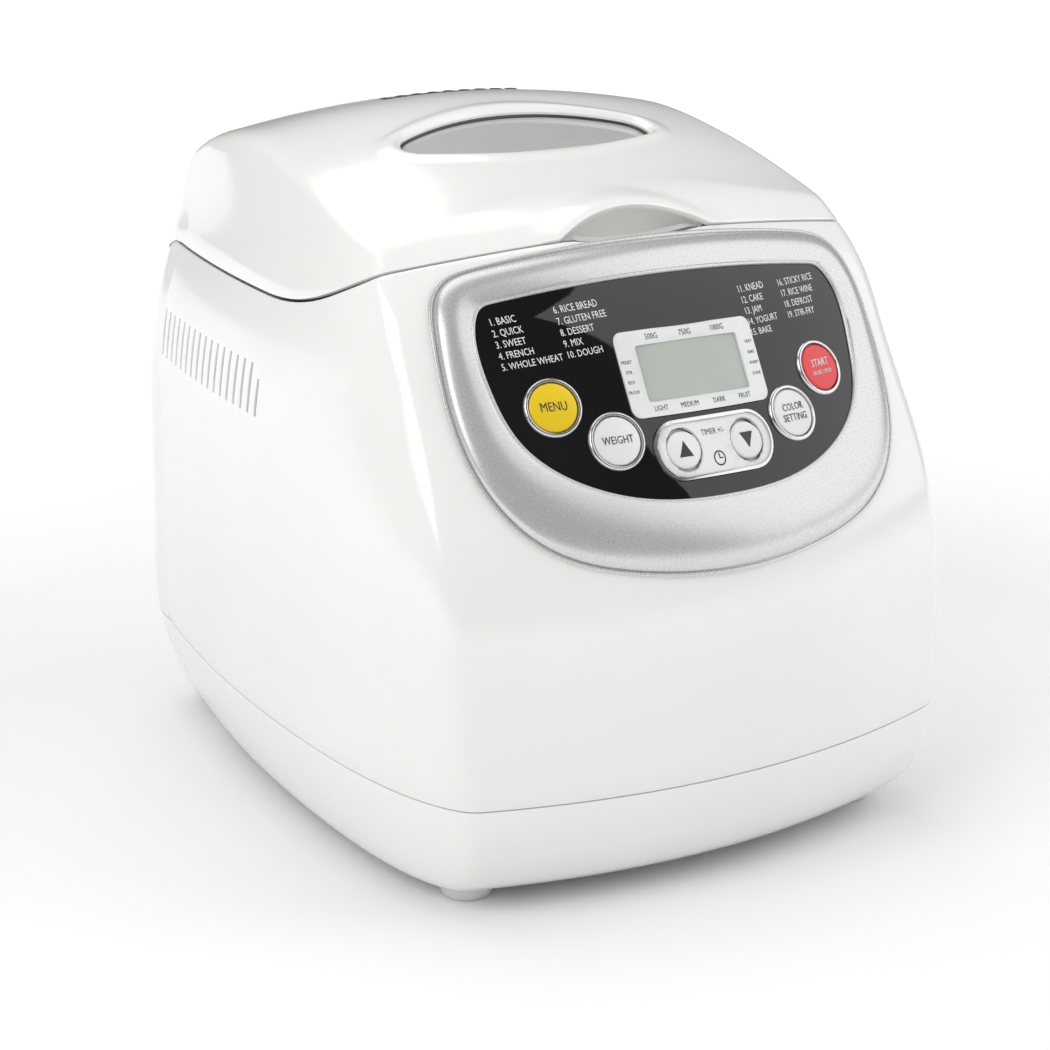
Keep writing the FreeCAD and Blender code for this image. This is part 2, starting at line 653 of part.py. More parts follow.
timer = front_sheet(PANEL_T, PANEL_T + 0.8, PANEL_LOW, PANEL_TOP, 100)
timer = timer.common(front_prism(pill(26.5, TIMER_Z, 9.6)))
save("timer_plate", timer.cut(group(holes)))
rings = []
under_panel = front_sheet(-6, PANEL_T, PANEL_LOW, PANEL_TOP, 100)
for name, x, z, r in BUTTONS:
    if r == BUTTON_R:
        ring = on_front(x, z, r + 2.0, PANEL_T, PANEL_T + 1.0).cut(on_front(x, z, r + BUTTON_GAP, -8, 8))
        rings.append(ring.cut(under_panel))
save("button_rings", group(rings))

board_mid, board_n = front_point(0, 195), front_normal(0, 195)
tilt = math.degrees(math.atan2(board_n.z, -board_n.y))


def board_box(half_x, half_z, thick):
    """A flat box square to the panel's middle, its front face at the board's depth."""
    shape = Part.makeBox(2 * half_x, thick, 2 * half_z, Vector(-half_x, BOARD_DEPTH, -half_z))
    shape.rotate(Vector(0, 0, 0), Vector(1, 0, 0), -tilt)
    shape.translate(board_mid)
    return shape


save("control_board", board_box(82, 28, BOARD_T))
behind_board = board_box(120, 60, 40)

switches = []
for name, x, z, r in BUTTONS:
    cap = on_front(x, z, r, -1.2, BUTTON_PROUD)
    stem = on_front(x, z, STEM_R, STEM_END, -1.0)
    rims = [e for e in cap.Edges if e.Curve.TypeId == "Part::GeomCircle"]
    outer_rim = max(rims, key=lambda e: (e.CenterOfMass - front_point(x, z)).dot(front_normal(x, z)))
    save(name, fuse(cap.makeFillet(0.9, [outer_rim]), stem))
    reach = on_front(x, z, STEM_R, STEM_END - 18, STEM_END - BUTTON_TRAVEL - 0.4)
    switches.append(reach.cut(behind_board))
save("tact_switches", group(switches))

# ---- lid --------------------------------------------------------------------
lid_space = column(0, 215, 297).common(roof_solid(0)).cut(split_lid)
lid_hollow = column(WALL, 214, 297).common(roof_solid(WALL))
lid = lid_space.cut(lid_hollow)
lid = lid.cut(eye(WINDOW_HALF_X, WINDOW_HALF_Y, 240, 320, WINDOW_Y))
notch_w = HINGE_BRACKET_W + 2.0
for s in (1, -1):
    lid = lid.cut(box(s * HINGE_X - notch_w / 2, s * HINGE_X + notch_w / 2, 134, 175, 220, 243))


def grip_bowl(extra):
    """The finger pocket under the lid's front edge, as half an ellipsoid."""
    matrix = FreeCAD.Matrix()
    matrix.scale(GRIP[0] + extra, GRIP[1] + extra, GRIP[2] + extra)
    bowl = Part.makeSphere(1.0).transformGeometry(matrix)
    bowl.translate(Vector(0, GRIP_Y, GRIP_Z))
    return bowl


pocket_wall = grip_bowl(WALL).cut(grip_bowl(0)).common(lid_space)
lid = fuse(lid.cut(grip_bowl(0)), pocket_wall)
for x, y in LID_SCREWS:
    boss = cyl(5.0, SPLIT_Z, 300, x, y).common(lid_hollow).cut(under_split(-LINER_RISE - LINER_T))
    lid = fuse(lid, boss.cut(cyl(1.9, 200, 246, x, y)))
lid = lid.cut(box(-STEAM_HALF_X, STEAM_HALF_X, STEAM_Y0, STEAM_Y1, 280, 300))
save("lid_outer", lid)

LINER_Z = 262.0
liner_flat = column(WALL + 1.2, 215, 297).common(under_split(-LINER_RISE - LINER_T))
liner_flat = liner_flat.cut(under_split(-LINER_RISE)).common(roof_solid(WALL + 0.4))
liner_flat = liner_flat.common(box(-200, 200, -200, HINGE_Y - 20, 200, 300))
dome_y = CHAMBER_Y - 2
dome = tub(82, 60, -8, 16, 229, LINER_Z, dome_y).cut(tub(80, 58, -8, 14, 228, LINER_Z - 2, dome_y))
pocket = tub(82, 60, -8, 16, 225, LINER_Z - 0.5, dome_y)
liner = liner_flat.cut(pocket).fuse(dome.cut(split_lid)).removeSplitter()
liner = liner.cut(eye(WINDOW_HALF_X - 6, WINDOW_HALF_Y - 4, 240, 320, WINDOW_Y)).cut(grip_bowl(WALL + 0.3))
liner = liner.cut(group([cyl(2.1, 200, 260, x, y) for x, y in LID_SCREWS]))
save("lid_inner", liner)

glass_sheet = roof_solid(WALL).cut(roof_solid(WALL + 3.0))
glass = glass_sheet.common(eye(WINDOW_HALF_X + 5, WINDOW_HALF_Y + 5, 240, 320, WINDOW_Y))
save("window_glass", glass)
seal_sheet = roof_solid(WALL + 3.0).cut(roof_solid(WALL + 5.0))
seal = seal_sheet.common(eye(WINDOW_HALF_X + 4, WINDOW_HALF_Y + 4, 240, 320, WINDOW_Y))
seal = seal.cut(eye(WINDOW_HALF_X - 2, WINDOW_HALF_Y - 2, 240, 320, WINDOW_Y))
save("window_seal", seal)
inner_glass = eye(WINDOW_HALF_X, WINDOW_HALF_Y + 2, LINER_Z, LINER_Z + 3, WINDOW_Y)
save("window_inner_glass", inner_glass)

vent_room = box(-STEAM_HALF_X + 0.3, STEAM_HALF_X - 0.3, STEAM_Y0 + 0.3, STEAM_Y1 - 0.3, 270, 300)
vent_strip = roof_solid(0.3).cut(roof_solid(WALL + 1.5)).common(vent_room)
vent_slots = [box(x - 2.6, x + 2.6, STEAM_Y0 + 2.2, STEAM_Y1 - 2.2, 270, 300) for x in range(-24, 25, 8)]
save("lid_vent_grille", vent_strip.cut(group(vent_slots)))

gasket = block(CHAMBER_HALF_X + 1, CHAMBER_HALF_Y + 3, 16, 220, 250, CHAMBER_Y)
gasket = gasket.cut(block(CHAMBER_HALF_X - 2.5, CHAMBER_HALF_Y - 1, 12.5, 210, 260, CHAMBER_Y))
gasket = gasket.common(under_split(-LINER_RISE)).cut(under_split(SEAL_DROP))
save("lid_seal", gasket)

liner_top = SPLIT_Z + LINER_RISE + LINER_T
ears, brackets, pins = [], [], []
for s in (1, -1):
    x0 = s * HINGE_X
    half = HINGE_BRACKET_W / 2
    stem = box(x0 - half, x0 + half, HINGE_Y - 4.5, HINGE_Y + 4.5, 221.4, HINGE_Z)
    eye_part = rod_x(4.5, x0 - half, x0 + half, HINGE_Y, HINGE_Z)
    bore = rod_x(HINGE_PIN_R, x0 - 40, x0 + 40, HINGE_Y, HINGE_Z)
    brackets.append(fuse(stem, eye_part).cut(bore))
    pins.append(rod_x(HINGE_PIN_R, x0 - 13.5, x0 + 13.5, HINGE_Y, HINGE_Z))
    loose = rod_x(HINGE_PIN_R + RUNNING, x0 - 40, x0 + 40, HINGE_Y, HINGE_Z)
    for t in (1, -1):
        x_mid = x0 + t * (half + 4.5)
        ear = rod_x(5.5, x_mid - 3, x_mid + 3, HINGE_Y, HINGE_Z)
        arm = box(x_mid - 3, x_mid + 3, HINGE_Y - 28, HINGE_Y + 1, liner_top, HINGE_Z + 5.5)
        ears.append(fuse(ear, arm).cut(loose).common(lid_hollow))
save("hinge_brackets", group(brackets))
save("hinge_pins", group(pins))
save("hinge_ears", group(ears))

# ---- bread pan --------------------------------------------------------------
pan = tub(PAN_HALF_X, PAN_HALF_Y, PAN_DRAFT, PAN_CORNER, PAN_FLOOR, PAN_RIM, CHAMBER_Y)
pan_in = tub(PAN_HALF_X - PAN_WALL, PAN_HALF_Y - PAN_WALL, PAN_DRAFT, PAN_CORNER - PAN_WALL,
             PAN_FLOOR + PAN_WALL, PAN_RIM + 0.1, CHAMBER_Y)
rim = block(PAN_HALF_X + 3, PAN_HALF_Y + 3, PAN_CORNER + 3, PAN_RIM - 1.6, PAN_RIM, CHAMBER_Y)
mouth_x, mouth_y = PAN_HALF_X - PAN_WALL, PAN_HALF_Y - PAN_WALL
rim = rim.cut(block(mouth_x, mouth_y, PAN_CORNER - PAN_WALL, 180, 200, CHAMBER_Y))
pan = fuse(pan.cut(pan_in), rim).cut(cyl(9.0, 0, 100, 0, CHAMBER_Y))
save("bread_pan", pan)

skirt = tube(44.0, 36.0, floor_top + 0.4, PAN_FLOOR, 0, CHAMBER_Y)
save("pan_base", skirt)
hub = tube(9.0, PAN_SHAFT_R + RUNNING, PAN_FLOOR - 6, PAN_FLOOR + 8, 0, CHAMBER_Y)
hub = fuse(hub, tube(15.0, 9.0, PAN_FLOOR - 3, PAN_FLOOR, 0, CHAMBER_Y))
save("pan_bearing", hub)

ear_x = PAN_HALF_X + 3.4
pan_ears = []
for s in (1, -1):
    x0 = s * ear_x
    x_low, x_high = sorted((x0, x0 - s * 1.8))
    tab = box(x_low, x_high, CHAMBER_Y - 9, CHAMBER_Y + 9, PAN_RIM, HANDLE_Z + 6)
    pan_ears.append(tab.cut(rod_x(HANDLE_WIRE + RUNNING, x0 - 10, x0 + 10, CHAMBER_Y, HANDLE_Z)))
save("pan_ears", group(pan_ears))

arm_x = ear_x + 4.0
grip_y = CHAMBER_Y - HANDLE_ARM
bail_bend = 14.0
side = [
    line((-ear_x + 4, CHAMBER_Y, HANDLE_Z), (-arm_x, CHAMBER_Y, HANDLE_Z)),
    line((-arm_x, CHAMBER_Y, HANDLE_Z), (-arm_x, grip_y + bail_bend, HANDLE_Z)),
    elbow(
        (-arm_x, grip_y, HANDLE_Z),
        (-arm_x, grip_y + bail_bend, HANDLE_Z),
        (-arm_x + bail_bend, grip_y, HANDLE_Z),
    ),
]
other_side = Part.Wire(side).mirror(Vector(0, 0, 0), Vector(1, 0, 0))
bar = line((-arm_x + bail_bend, grip_y, HANDLE_Z), (arm_x - bail_bend, grip_y, HANDLE_Z))
bail_path = Part.Wire(Part.__sortEdges__(side + [bar] + other_side.Edges))
wire_end = Part.Wire(Part.makeCircle(HANDLE_WIRE, Vector(-ear_x + 4, CHAMBER_Y, HANDLE_Z), Vector(1, 0, 0)))
save("pan_handle", bail_path.makePipeShell([wire_end], True, False, 1))

save("pan_shaft", cyl(PAN_SHAFT_R, 74.5, 104.0, 0, CHAMBER_Y))
dog_plate = cyl(13.0, 74.6, 75.8, 0, CHAMBER_Y).cut(cyl(PAN_SHAFT_R, 50, 90, 0, CHAMBER_Y))
save("pan_dog", fuse(dog_plate, *dogs(67.0, 74.7, 90)))

paddle_hub = Part.makeCone(10.0, 7.5, 18, Vector(0, CHAMBER_Y, PAN_FLOOR + 8.6))
foot = Part.makeCone(24.0, 9.0, 6, Vector(0, CHAMBER_Y, PAN_FLOOR + 8.6))
foot = foot.common(box(-9, 26, CHAMBER_Y - 9, CHAMBER_Y + 9, 80, 120))
fin = box(0, 28, CHAMBER_Y - 2.2, CHAMBER_Y + 2.2, PAN_FLOOR + 8.6, PAN_FLOOR + 40)
tip = [e for e in fin.Edges if abs(e.CenterOfMass.x - 28) < 0.1 and e.CenterOfMass.z > PAN_FLOOR + 39]
fin = fin.makeFillet(8.0, tip)
paddle = fuse(paddle_hub, foot, fin).cut(cyl(PAN_SHAFT_R, 0, 105.0, 0, CHAMBER_Y))
save("kneading_paddle", paddle)

# ---- cord gland at the back -------------------------------------------------
gland_y = back_line(CORD_Z) - CORD_X ** 2 / (2 * BACK_BOW)
gland = rod_y(6.8, gland_y - 10, gland_y + 2, CORD_X, CORD_Z)
save("cord_gland", gland.cut(rod_y(3.6, gland_y - 30, gland_y + 30, CORD_X, CORD_Z)))
save("lid_screws", group([screw(x, y, SPLIT_Z + LINER_RISE - 2.2, 9.0, 1) for x, y in LID_SCREWS]))
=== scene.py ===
# %% [markdown]
# # A home bread machine
# The machine is a barrel-sided plastic case with a domed lid, a silver bezel round a black panel, and a baking
# chamber with a pan inside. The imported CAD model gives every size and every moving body. This lesson loads it
# first and then dresses it: each visible piece is a surface worked out with numpy, in millimetres, that takes the
# place of its plainer CAD twin and moves with the same body.

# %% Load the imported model
import math

import bpy
import numpy as np
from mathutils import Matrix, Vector
from mathutils.geometry import delaunay_2d_cdt


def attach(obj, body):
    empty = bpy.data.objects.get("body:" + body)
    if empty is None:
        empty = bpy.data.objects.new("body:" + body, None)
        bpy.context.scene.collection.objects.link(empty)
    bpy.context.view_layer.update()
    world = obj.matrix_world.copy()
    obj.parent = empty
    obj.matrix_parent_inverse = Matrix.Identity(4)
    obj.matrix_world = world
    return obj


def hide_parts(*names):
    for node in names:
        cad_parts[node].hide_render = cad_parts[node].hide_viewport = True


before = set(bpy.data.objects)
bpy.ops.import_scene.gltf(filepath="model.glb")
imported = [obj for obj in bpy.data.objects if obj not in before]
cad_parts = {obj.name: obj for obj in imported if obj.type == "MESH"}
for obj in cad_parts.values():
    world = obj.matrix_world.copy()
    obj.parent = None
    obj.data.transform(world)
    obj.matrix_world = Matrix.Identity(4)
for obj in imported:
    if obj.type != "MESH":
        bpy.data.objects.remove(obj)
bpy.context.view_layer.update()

MM = 0.001

# %% [markdown]
# ## Camera, floor and light
# The machine stands turned about a third of a right angle, seen from a little above, with a long lens so that its
# sides hardly converge. The light is a bright white room with one large soft card high on the left and one on the
# right. The right-hand card is what the glossy black panel shows as a grey sheet, so its left edge matters.

# %% Camera
CAMERA_AT = (-0.576, -0.942, 0.447)
CAMERA_ALONG = (0.499, 0.816, -0.292)
scene = bpy.context.scene
scene.view_settings.view_transform = "Standard"
camera = bpy.data.objects.new("camera", bpy.data.cameras.new("camera"))
camera.data.lens = 89.1
camera.location = CAMERA_AT
camera.rotation_euler = Vector(CAMERA_ALONG).to_track_quat("-Z", "Y").to_euler()
scene.collection.objects.link(camera)
scene.camera = camera
print("camera lens", camera.data.lens, "mm")

# %% [markdown]
# The white room is the world's own light. Glossy rays see it much darker, as they would in a studio with black
# flags, so that the black panel stays black and only the cards show in it. Area lights make the cards: they have
# a size, which gives soft shadows, and they show in the gloss as clean sheets.

# %% Soft light
world = bpy.data.worlds.new("white room")
world.use_nodes = True
ROOM, ROOM_IN_GLOSS = 0.50, 0.08
sky = world.node_tree.nodes["Background"]
sky.inputs["Color"].default_value = (1.0, 1.0, 1.0, 1.0)
path = world.node_tree.nodes.new("ShaderNodeLightPath")
level = world.node_tree.nodes.new("ShaderNodeMapRange")
level.inputs["To Min"].default_value, level.inputs["To Max"].default_value = ROOM, ROOM_IN_GLOSS
world.node_tree.links.new(path.outputs["Is Glossy Ray"], level.inputs["Value"])
world.node_tree.links.new(level.outputs[0], sky.inputs["Strength"])
scene.world = world
CARDS = {
    # name: (place, aimed at, width, height, power), metres and watts
    "left card": ((-1.5, -0.5, 1.3), (0, 0, 0.12), 1.3, 1.3, 15.0),
    "right card": ((1.24, -0.81, 1.05), (0, -0.1, 0.2), 1.6, 1.9, 13.0),
    "top card": ((-0.1, 0.5, 1.7), (0, 0, 0.2), 1.6, 1.2, 9.5),
}
for name, (place, aim, width, height, power) in CARDS.items():
    card = bpy.data.lights.new(name, "AREA")
    card.shape = "RECTANGLE"
    card.size, card.size_y, card.energy = width, height, power
    lamp = bpy.data.objects.new(name, card)
    lamp.location = place
    lamp.rotation_euler = (Vector(aim) - Vector(place)).to_track_quat("-Z", "Y").to_euler()
    scene.collection.objects.link(lamp)
print("lights", len(CARDS))

# %% [markdown]
# ## Shader groups
# Four effects turn up in many finishes, so each is built once as a node group and placed with its own numbers:
# the faint orange peel of moulded plastic, the glitter of metallic paint, the fine parallel lines of brushed or
# turned metal, and the soft mottling of handling and dust. A group gives out a height for the bump and a mask for
# colour and roughness; the shader itself stays in the material.

# %% Group builder
def shader_group(name, textures, mask_from, height_from):
    """A group with Vector and Scale in, Mask and Height out; textures are (label, node type, settings, inputs)."""
    group = bpy.data.node_groups.new(name, "ShaderNodeTree")
    group.interface.new_socket("Vector", in_out="INPUT", socket_type="NodeSocketVector")
    group.interface.new_socket("Scale", in_out="INPUT", socket_type="NodeSocketFloat").default_value = 1.0
    group.interface.new_socket("Mask", in_out="OUTPUT", socket_type="NodeSocketFloat")
    group.interface.new_socket("Height", in_out="OUTPUT", socket_type="NodeSocketFloat")
    nodes, links = group.nodes, group.links
    entry, leave = nodes.new("NodeGroupInput"), nodes.new("NodeGroupOutput")
    made = {}
    for label, kind, settings, inputs in textures:
        node = nodes.new(kind)
        for key, value in settings.items():
            setattr(node, key, value)
        for key, value in inputs.items():
            if isinstance(value, tuple) and value[0] in made:
                links.new(made[value[0]].outputs[value[1]], node.inputs[key])
            elif value == "vector":
                links.new(entry.outputs["Vector"], node.inputs[key])
            elif value == "scale":
                links.new(entry.outputs["Scale"], node.inputs[key])
            else:
                node.inputs[key].default_value = value
        made[label] = node
    links.new(made[mask_from[0]].outputs[mask_from[1]], leave.inputs["Mask"])
    links.new(made[height_from[0]].outputs[height_from[1]], leave.inputs["Height"])
    return group


def scaled(x, y, z):
    """Stretch the coordinates, then multiply them by the group's scale."""
    return [
        ("stretch", "ShaderNodeVectorMath", {"operation": "MULTIPLY"}, {0: "vector", 1: (x, y, z)}),
        ("place", "ShaderNodeVectorMath", {"operation": "SCALE"}, {0: ("stretch", 0), "Scale": "scale"}),
    ]


# %% [markdown]
# Each effect is a short chain of texture nodes. Noise gives the peel and the clouds, cells give the flakes and
# the dots, and noise that is drawn out along one axis gives the brushed lines.

# %% The four groups
PLACE = ("place", 0)
SPREAD = "ShaderNodeMapRange"
GROUPS = {
    "moulded grain": shader_group("moulded grain", scaled(1, 1, 1) + [
        ("peel", "ShaderNodeTexNoise", {}, {"Vector": PLACE, "Scale": 1.0, "Detail": 2.0, "Roughness": 0.45}),
        ("cloud", "ShaderNodeTexNoise", {}, {"Vector": PLACE, "Scale": 0.02, "Detail": 3.0}),
        ("soft", SPREAD, {}, {"Value": ("cloud", "Fac"), "From Min": 0.35, "From Max": 0.65}),
    ], ("soft", 0), ("peel", "Fac")),
    "metal flake": shader_group("metal flake", scaled(1, 1, 1) + [
        ("cells", "ShaderNodeTexVoronoi", {}, {"Vector": PLACE, "Scale": 1.0}),
        ("tone", "ShaderNodeSeparateColor", {}, {"Color": ("cells", "Color")}),
        ("drift", "ShaderNodeTexNoise", {}, {"Vector": PLACE, "Scale": 0.25, "Detail": 4.0}),
        ("blend", "ShaderNodeMath", {"operation": "MULTIPLY"}, {0: ("tone", 0), 1: ("drift", "Fac")}),
        ("soft", SPREAD, {}, {"Value": ("blend", 0), "From Min": 0.05, "From Max": 0.6}),
    ], ("soft", 0), ("tone", 1)),
    "brushed lines": shader_group("brushed lines", scaled(0.03, 1, 1) + [
        ("lines", "ShaderNodeTexNoise", {}, {"Vector": PLACE, "Scale": 1.0, "Detail": 4.0, "Roughness": 0.7}),
        ("cloud", "ShaderNodeTexNoise", {}, {"Vector": PLACE, "Scale": 0.05, "Detail": 2.0}),
        ("both", "ShaderNodeMath", {"operation": "MULTIPLY"}, {0: ("lines", "Fac"), 1: ("cloud", "Fac")}),
        ("soft", SPREAD, {}, {"Value": ("both", 0), "From Min": 0.12, "From Max": 0.4}),
    ], ("soft", 0), ("lines", "Fac")),
    "speckle": shader_group("speckle", scaled(1, 1, 1) + [
        ("dots", "ShaderNodeTexVoronoi", {}, {"Vector": PLACE, "Scale": 1.0}),
        ("edge", SPREAD, {}, {"Value": ("dots", "Distance"), "From Min": 0.1, "From Max": 0.3,
                              "To Min": 1.0, "To Max": 0.0}),
        ("grit", "ShaderNodeTexNoise", {}, {"Vector": PLACE, "Scale": 2.5, "Detail": 3.0}),
        ("some", "ShaderNodeMath", {"operation": "MULTIPLY"}, {0: ("edge", 0), 1: ("grit", "Fac")}),
    ], ("some", 0), ("grit", "Fac")),
}
print("groups", sorted(GROUPS))

# %% [markdown]
# ## Finishes
# Every finish is a Principled shader fed by one of the groups: two close colours mixed by the mask, a roughness
# that wanders between two values, and a shallow bump. Gloss white for the case, sparkling silver paint for the
# bezel, acrylic black for the panel, and plain workshop metals, rubber and nylon inside.

# %% Finish builder
def finish(name, colour, second, rough, group="moulded grain", scale=700.0, bump=0.05, metallic=0.0, **plain):
    """A material on Object coordinates; plain holds constants that are set on the shader's own sockets."""
    material = bpy.data.materials.new(name)
    material.use_nodes = True
    nodes, links = material.node_tree.nodes, material.node_tree.links
    shader = nodes["Principled BSDF"]
    place = nodes.new("ShaderNodeTexCoord")
    effect = nodes.new("ShaderNodeGroup")
    effect.node_tree = GROUPS[group]
    effect.inputs["Scale"].default_value = scale
    links.new(place.outputs["Object"], effect.inputs["Vector"])
    tint = nodes.new("ShaderNodeMix")
    tint.data_type = "RGBA"
    tint.inputs[6].default_value = (*colour, 1.0)
    tint.inputs[7].default_value = (*second, 1.0)
    links.new(effect.outputs["Mask"], tint.inputs[0])
    links.new(tint.outputs[2], shader.inputs["Base Color"])
    sheen = nodes.new("ShaderNodeMapRange")
    sheen.inputs["To Min"].default_value, sheen.inputs["To Max"].default_value = rough
    links.new(effect.outputs["Mask"], sheen.inputs["Value"])
    links.new(sheen.outputs[0], shader.inputs["Roughness"])
    relief = nodes.new("ShaderNodeBump")
    relief.inputs["Strength"].default_value = bump
    relief.inputs["Distance"].default_value = 0.0002
    links.new(effect.outputs["Height"], relief.inputs["Height"])
    links.new(relief.outputs["Normal"], shader.inputs["Normal"])
    shader.inputs["Metallic"].default_value = metallic
    for socket, value in plain.items():
        shader.inputs[socket.replace("_", " ")].default_value = value
    return material


# %% [markdown]
# Two colours and two roughnesses are enough to keep a surface from looking flat. They are close together on new
# plastic and further apart on cast, oxidised and non-stick metal, which really are uneven.

# %% The finishes
F = {
    "gloss white": finish("gloss white", (0.83, 0.83, 0.81), (0.81, 0.81, 0.79), (0.13, 0.2), bump=0.03,
                          Coat_Weight=0.35, Coat_Roughness=0.06),
    "satin white": finish("satin white", (0.74, 0.74, 0.72), (0.70, 0.70, 0.68), (0.35, 0.45), bump=0.15),
    "key white": finish("key white", (0.72, 0.73, 0.73), (0.64, 0.65, 0.66), (0.25, 0.34), bump=0.06),
    "silver paint": finish("silver paint", (0.62, 0.625, 0.63), (0.69, 0.695, 0.70), (0.27, 0.32), "metal flake",
                           4200.0, 0.03, 0.5),
    "silver trim": finish("silver trim", (0.66, 0.67, 0.68), (0.76, 0.77, 0.78), (0.18, 0.26), "metal flake",
                          2600.0, 0.04, 0.9),
    "black acrylic": finish("black acrylic", (0.006, 0.006, 0.007), (0.009, 0.009, 0.010), (0.03, 0.06), bump=0.01,
                            Specular_IOR_Level=0.6),
    "key yellow": finish("key yellow", (0.80, 0.56, 0.012), (0.72, 0.50, 0.010), (0.22, 0.3), bump=0.05),
    "key red": finish("key red", (0.72, 0.055, 0.06), (0.66, 0.045, 0.05), (0.22, 0.3), bump=0.05),
    "display glass": finish("display glass", (0.40, 0.44, 0.40), (0.36, 0.40, 0.365), (0.12, 0.2), bump=0.02),
    "ink black": finish("ink black", (0.03, 0.03, 0.03), (0.05, 0.05, 0.05), (0.4, 0.5)),
    "ink white": finish("ink white", (0.72, 0.72, 0.72), (0.62, 0.62, 0.62), (0.4, 0.5)),
    "window pane": finish("window pane", (0.68, 0.69, 0.69), (0.64, 0.65, 0.655), (0.06, 0.12), bump=0.01,
                          Transmission_Weight=0.35, IOR=1.46),
    "dark rubber": finish("dark rubber", (0.05, 0.05, 0.052), (0.08, 0.08, 0.08), (0.55, 0.7), bump=0.3),
    "pale rubber": finish("pale rubber", (0.42, 0.42, 0.41), (0.36, 0.36, 0.35), (0.55, 0.7), bump=0.3),
    "dark plastic": finish("dark plastic", (0.045, 0.05, 0.055), (0.065, 0.07, 0.075), (0.32, 0.45), bump=0.25),
    "sheet steel": finish("sheet steel", (0.56, 0.57, 0.57), (0.48, 0.49, 0.49), (0.26, 0.42), "brushed lines",
                          2200.0, 0.15, 1.0),
    "ground steel": finish("ground steel", (0.60, 0.60, 0.61), (0.50, 0.50, 0.51), (0.16, 0.3), "brushed lines",
                           3000.0, 0.12, 1.0),
    "zinc screw": finish("zinc screw", (0.55, 0.55, 0.53), (0.42, 0.42, 0.40), (0.28, 0.45), "speckle",
                         900.0, 0.2, 1.0),
    "oxide sheath": finish("oxide sheath", (0.11, 0.10, 0.09), (0.17, 0.15, 0.13), (0.45, 0.65), "speckle",
                           1400.0, 0.4, 0.7),
    "cast aluminium": finish("cast aluminium", (0.55, 0.55, 0.55), (0.44, 0.44, 0.44), (0.38, 0.55), "speckle",
                             1100.0, 0.4, 0.95),
    "non-stick": finish("non-stick", (0.040, 0.041, 0.044), (0.085, 0.087, 0.092), (0.32, 0.48), "speckle",
                        1600.0, 0.3, 0.25),
    "bronze bush": finish("bronze bush", (0.42, 0.25, 0.10), (0.34, 0.20, 0.08), (0.3, 0.5), "speckle",
                          1500.0, 0.25, 1.0),
    "nylon": finish("nylon", (0.62, 0.60, 0.53), (0.55, 0.53, 0.47), (0.4, 0.55), bump=0.2),
    "motor steel": finish("motor steel", (0.30, 0.31, 0.33), (0.24, 0.25, 0.27), (0.3, 0.5), "brushed lines",
                          1500.0, 0.2, 0.9),
    "floor white": finish("floor white", (0.93, 0.93, 0.93), (0.91, 0.91, 0.91), (0.7, 0.8), scale=60.0),
    "board green": finish("board green", (0.015, 0.14, 0.06), (0.02, 0.19, 0.085), (0.3, 0.45), "speckle",
                          700.0, 0.2),
}
print("finishes", len(F))

# %% [markdown]
# ## Putting surfaces into meshes
# A surface is an array of points, rows by columns. Its four-cornered faces follow from the row and column numbers
# alone. Columns run anticlockwise seen from outside and above, and rows run upwards, so the faces point outwards.
# Points that meet, at a seam or a pole, are merged; a wall and rounded edges come from modifiers.

# %% Grid and piece helpers
def grid_faces(rows, cols, closed=False, keep=None):
    """Faces between neighbouring rows and columns; closed joins the last column to the first."""
    r = np.arange(rows - 1)[:, None]
    c = np.arange(cols if closed else cols - 1)[None, :]
    nxt = (c + 1) % cols
    quads = np.stack([r * cols + c, r * cols + nxt, (r + 1) * cols + nxt, (r + 1) * cols + c], -1)
    return quads[keep] if keep is not None else quads.reshape(-1, 4)


def piece(name, sheets, body, material, stands_for=(), wall=0.0, edge=0.0, angle=38.0):
    """One mesh from (points, faces) pairs in mm, merged at its seams, with a wall and rounded edges if asked."""
    points = np.concatenate([p.reshape(-1, 3) for p, _ in sheets]) * MM
    offsets = np.cumsum([0] + [p.reshape(-1, 3).shape[0] for p, _ in sheets])
    faces = [(np.asarray(f) + o).tolist() if isinstance(f, np.ndarray) else [[i + o for i in g] for g in f]
             for (_, f), o in zip(sheets, offsets.tolist())]
    mesh = bpy.data.meshes.new(name)
    mesh.from_pydata(points.tolist(), [], [face for group in faces for face in group])
    made = bpy.data.objects.new(name, mesh)
    scene.collection.objects.link(made)
    weld = made.modifiers.new("weld", "WELD")
    weld.merge_threshold = 0.00001
    if wall:
        shell = made.modifiers.new("wall", "SOLIDIFY")
        shell.thickness, shell.offset = wall * MM, -1.0
    if edge:
        soft = made.modifiers.new("edge", "BEVEL")
        soft.width, soft.segments, soft.angle_limit = edge * MM, 2, math.radians(40)
    settled = bpy.data.meshes.new_from_object(made.evaluated_get(bpy.context.evaluated_depsgraph_get()))
    made.modifiers.clear()
    made.data = settled
    settled.name = name
    settled.shade_smooth()
    settled.set_sharp_from_angle(angle=math.radians(angle))
    settled.materials.clear()
    settled.materials.append(material)
    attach(made, body)
    if stands_for:
        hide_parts(*stands_for)
    print(name, len(settled.polygons), "faces")
    return made


def turned(profile, count=64, centre=(0.0, 0.0)):
    """A profile of (radius, height) pairs spun round the vertical through centre, heights upwards."""
    r, z = np.array(profile, float).T
    a = np.linspace(0, 2 * math.pi, count, endpoint=False)
    x = centre[0] + r[:, None] * np.cos(a)
    y = centre[1] + r[:, None] * np.sin(a)
    points = np.stack([x, y, np.broadcast_to(z[:, None], x.shape)], -1)
    return points, grid_faces(len(r), count, True)


# %% [markdown]
# ## The barrel of the case
# Seen from above, the case is a closed outline: a bowed front, a crease where it turns, a slanting corner, a
# slightly bowed side, a round rear corner and a bowed back. Its width, its front and its back change with height,
# each along a smooth curve through a few stations. So any point of the case is a function of two numbers: how far
# round, and how high.

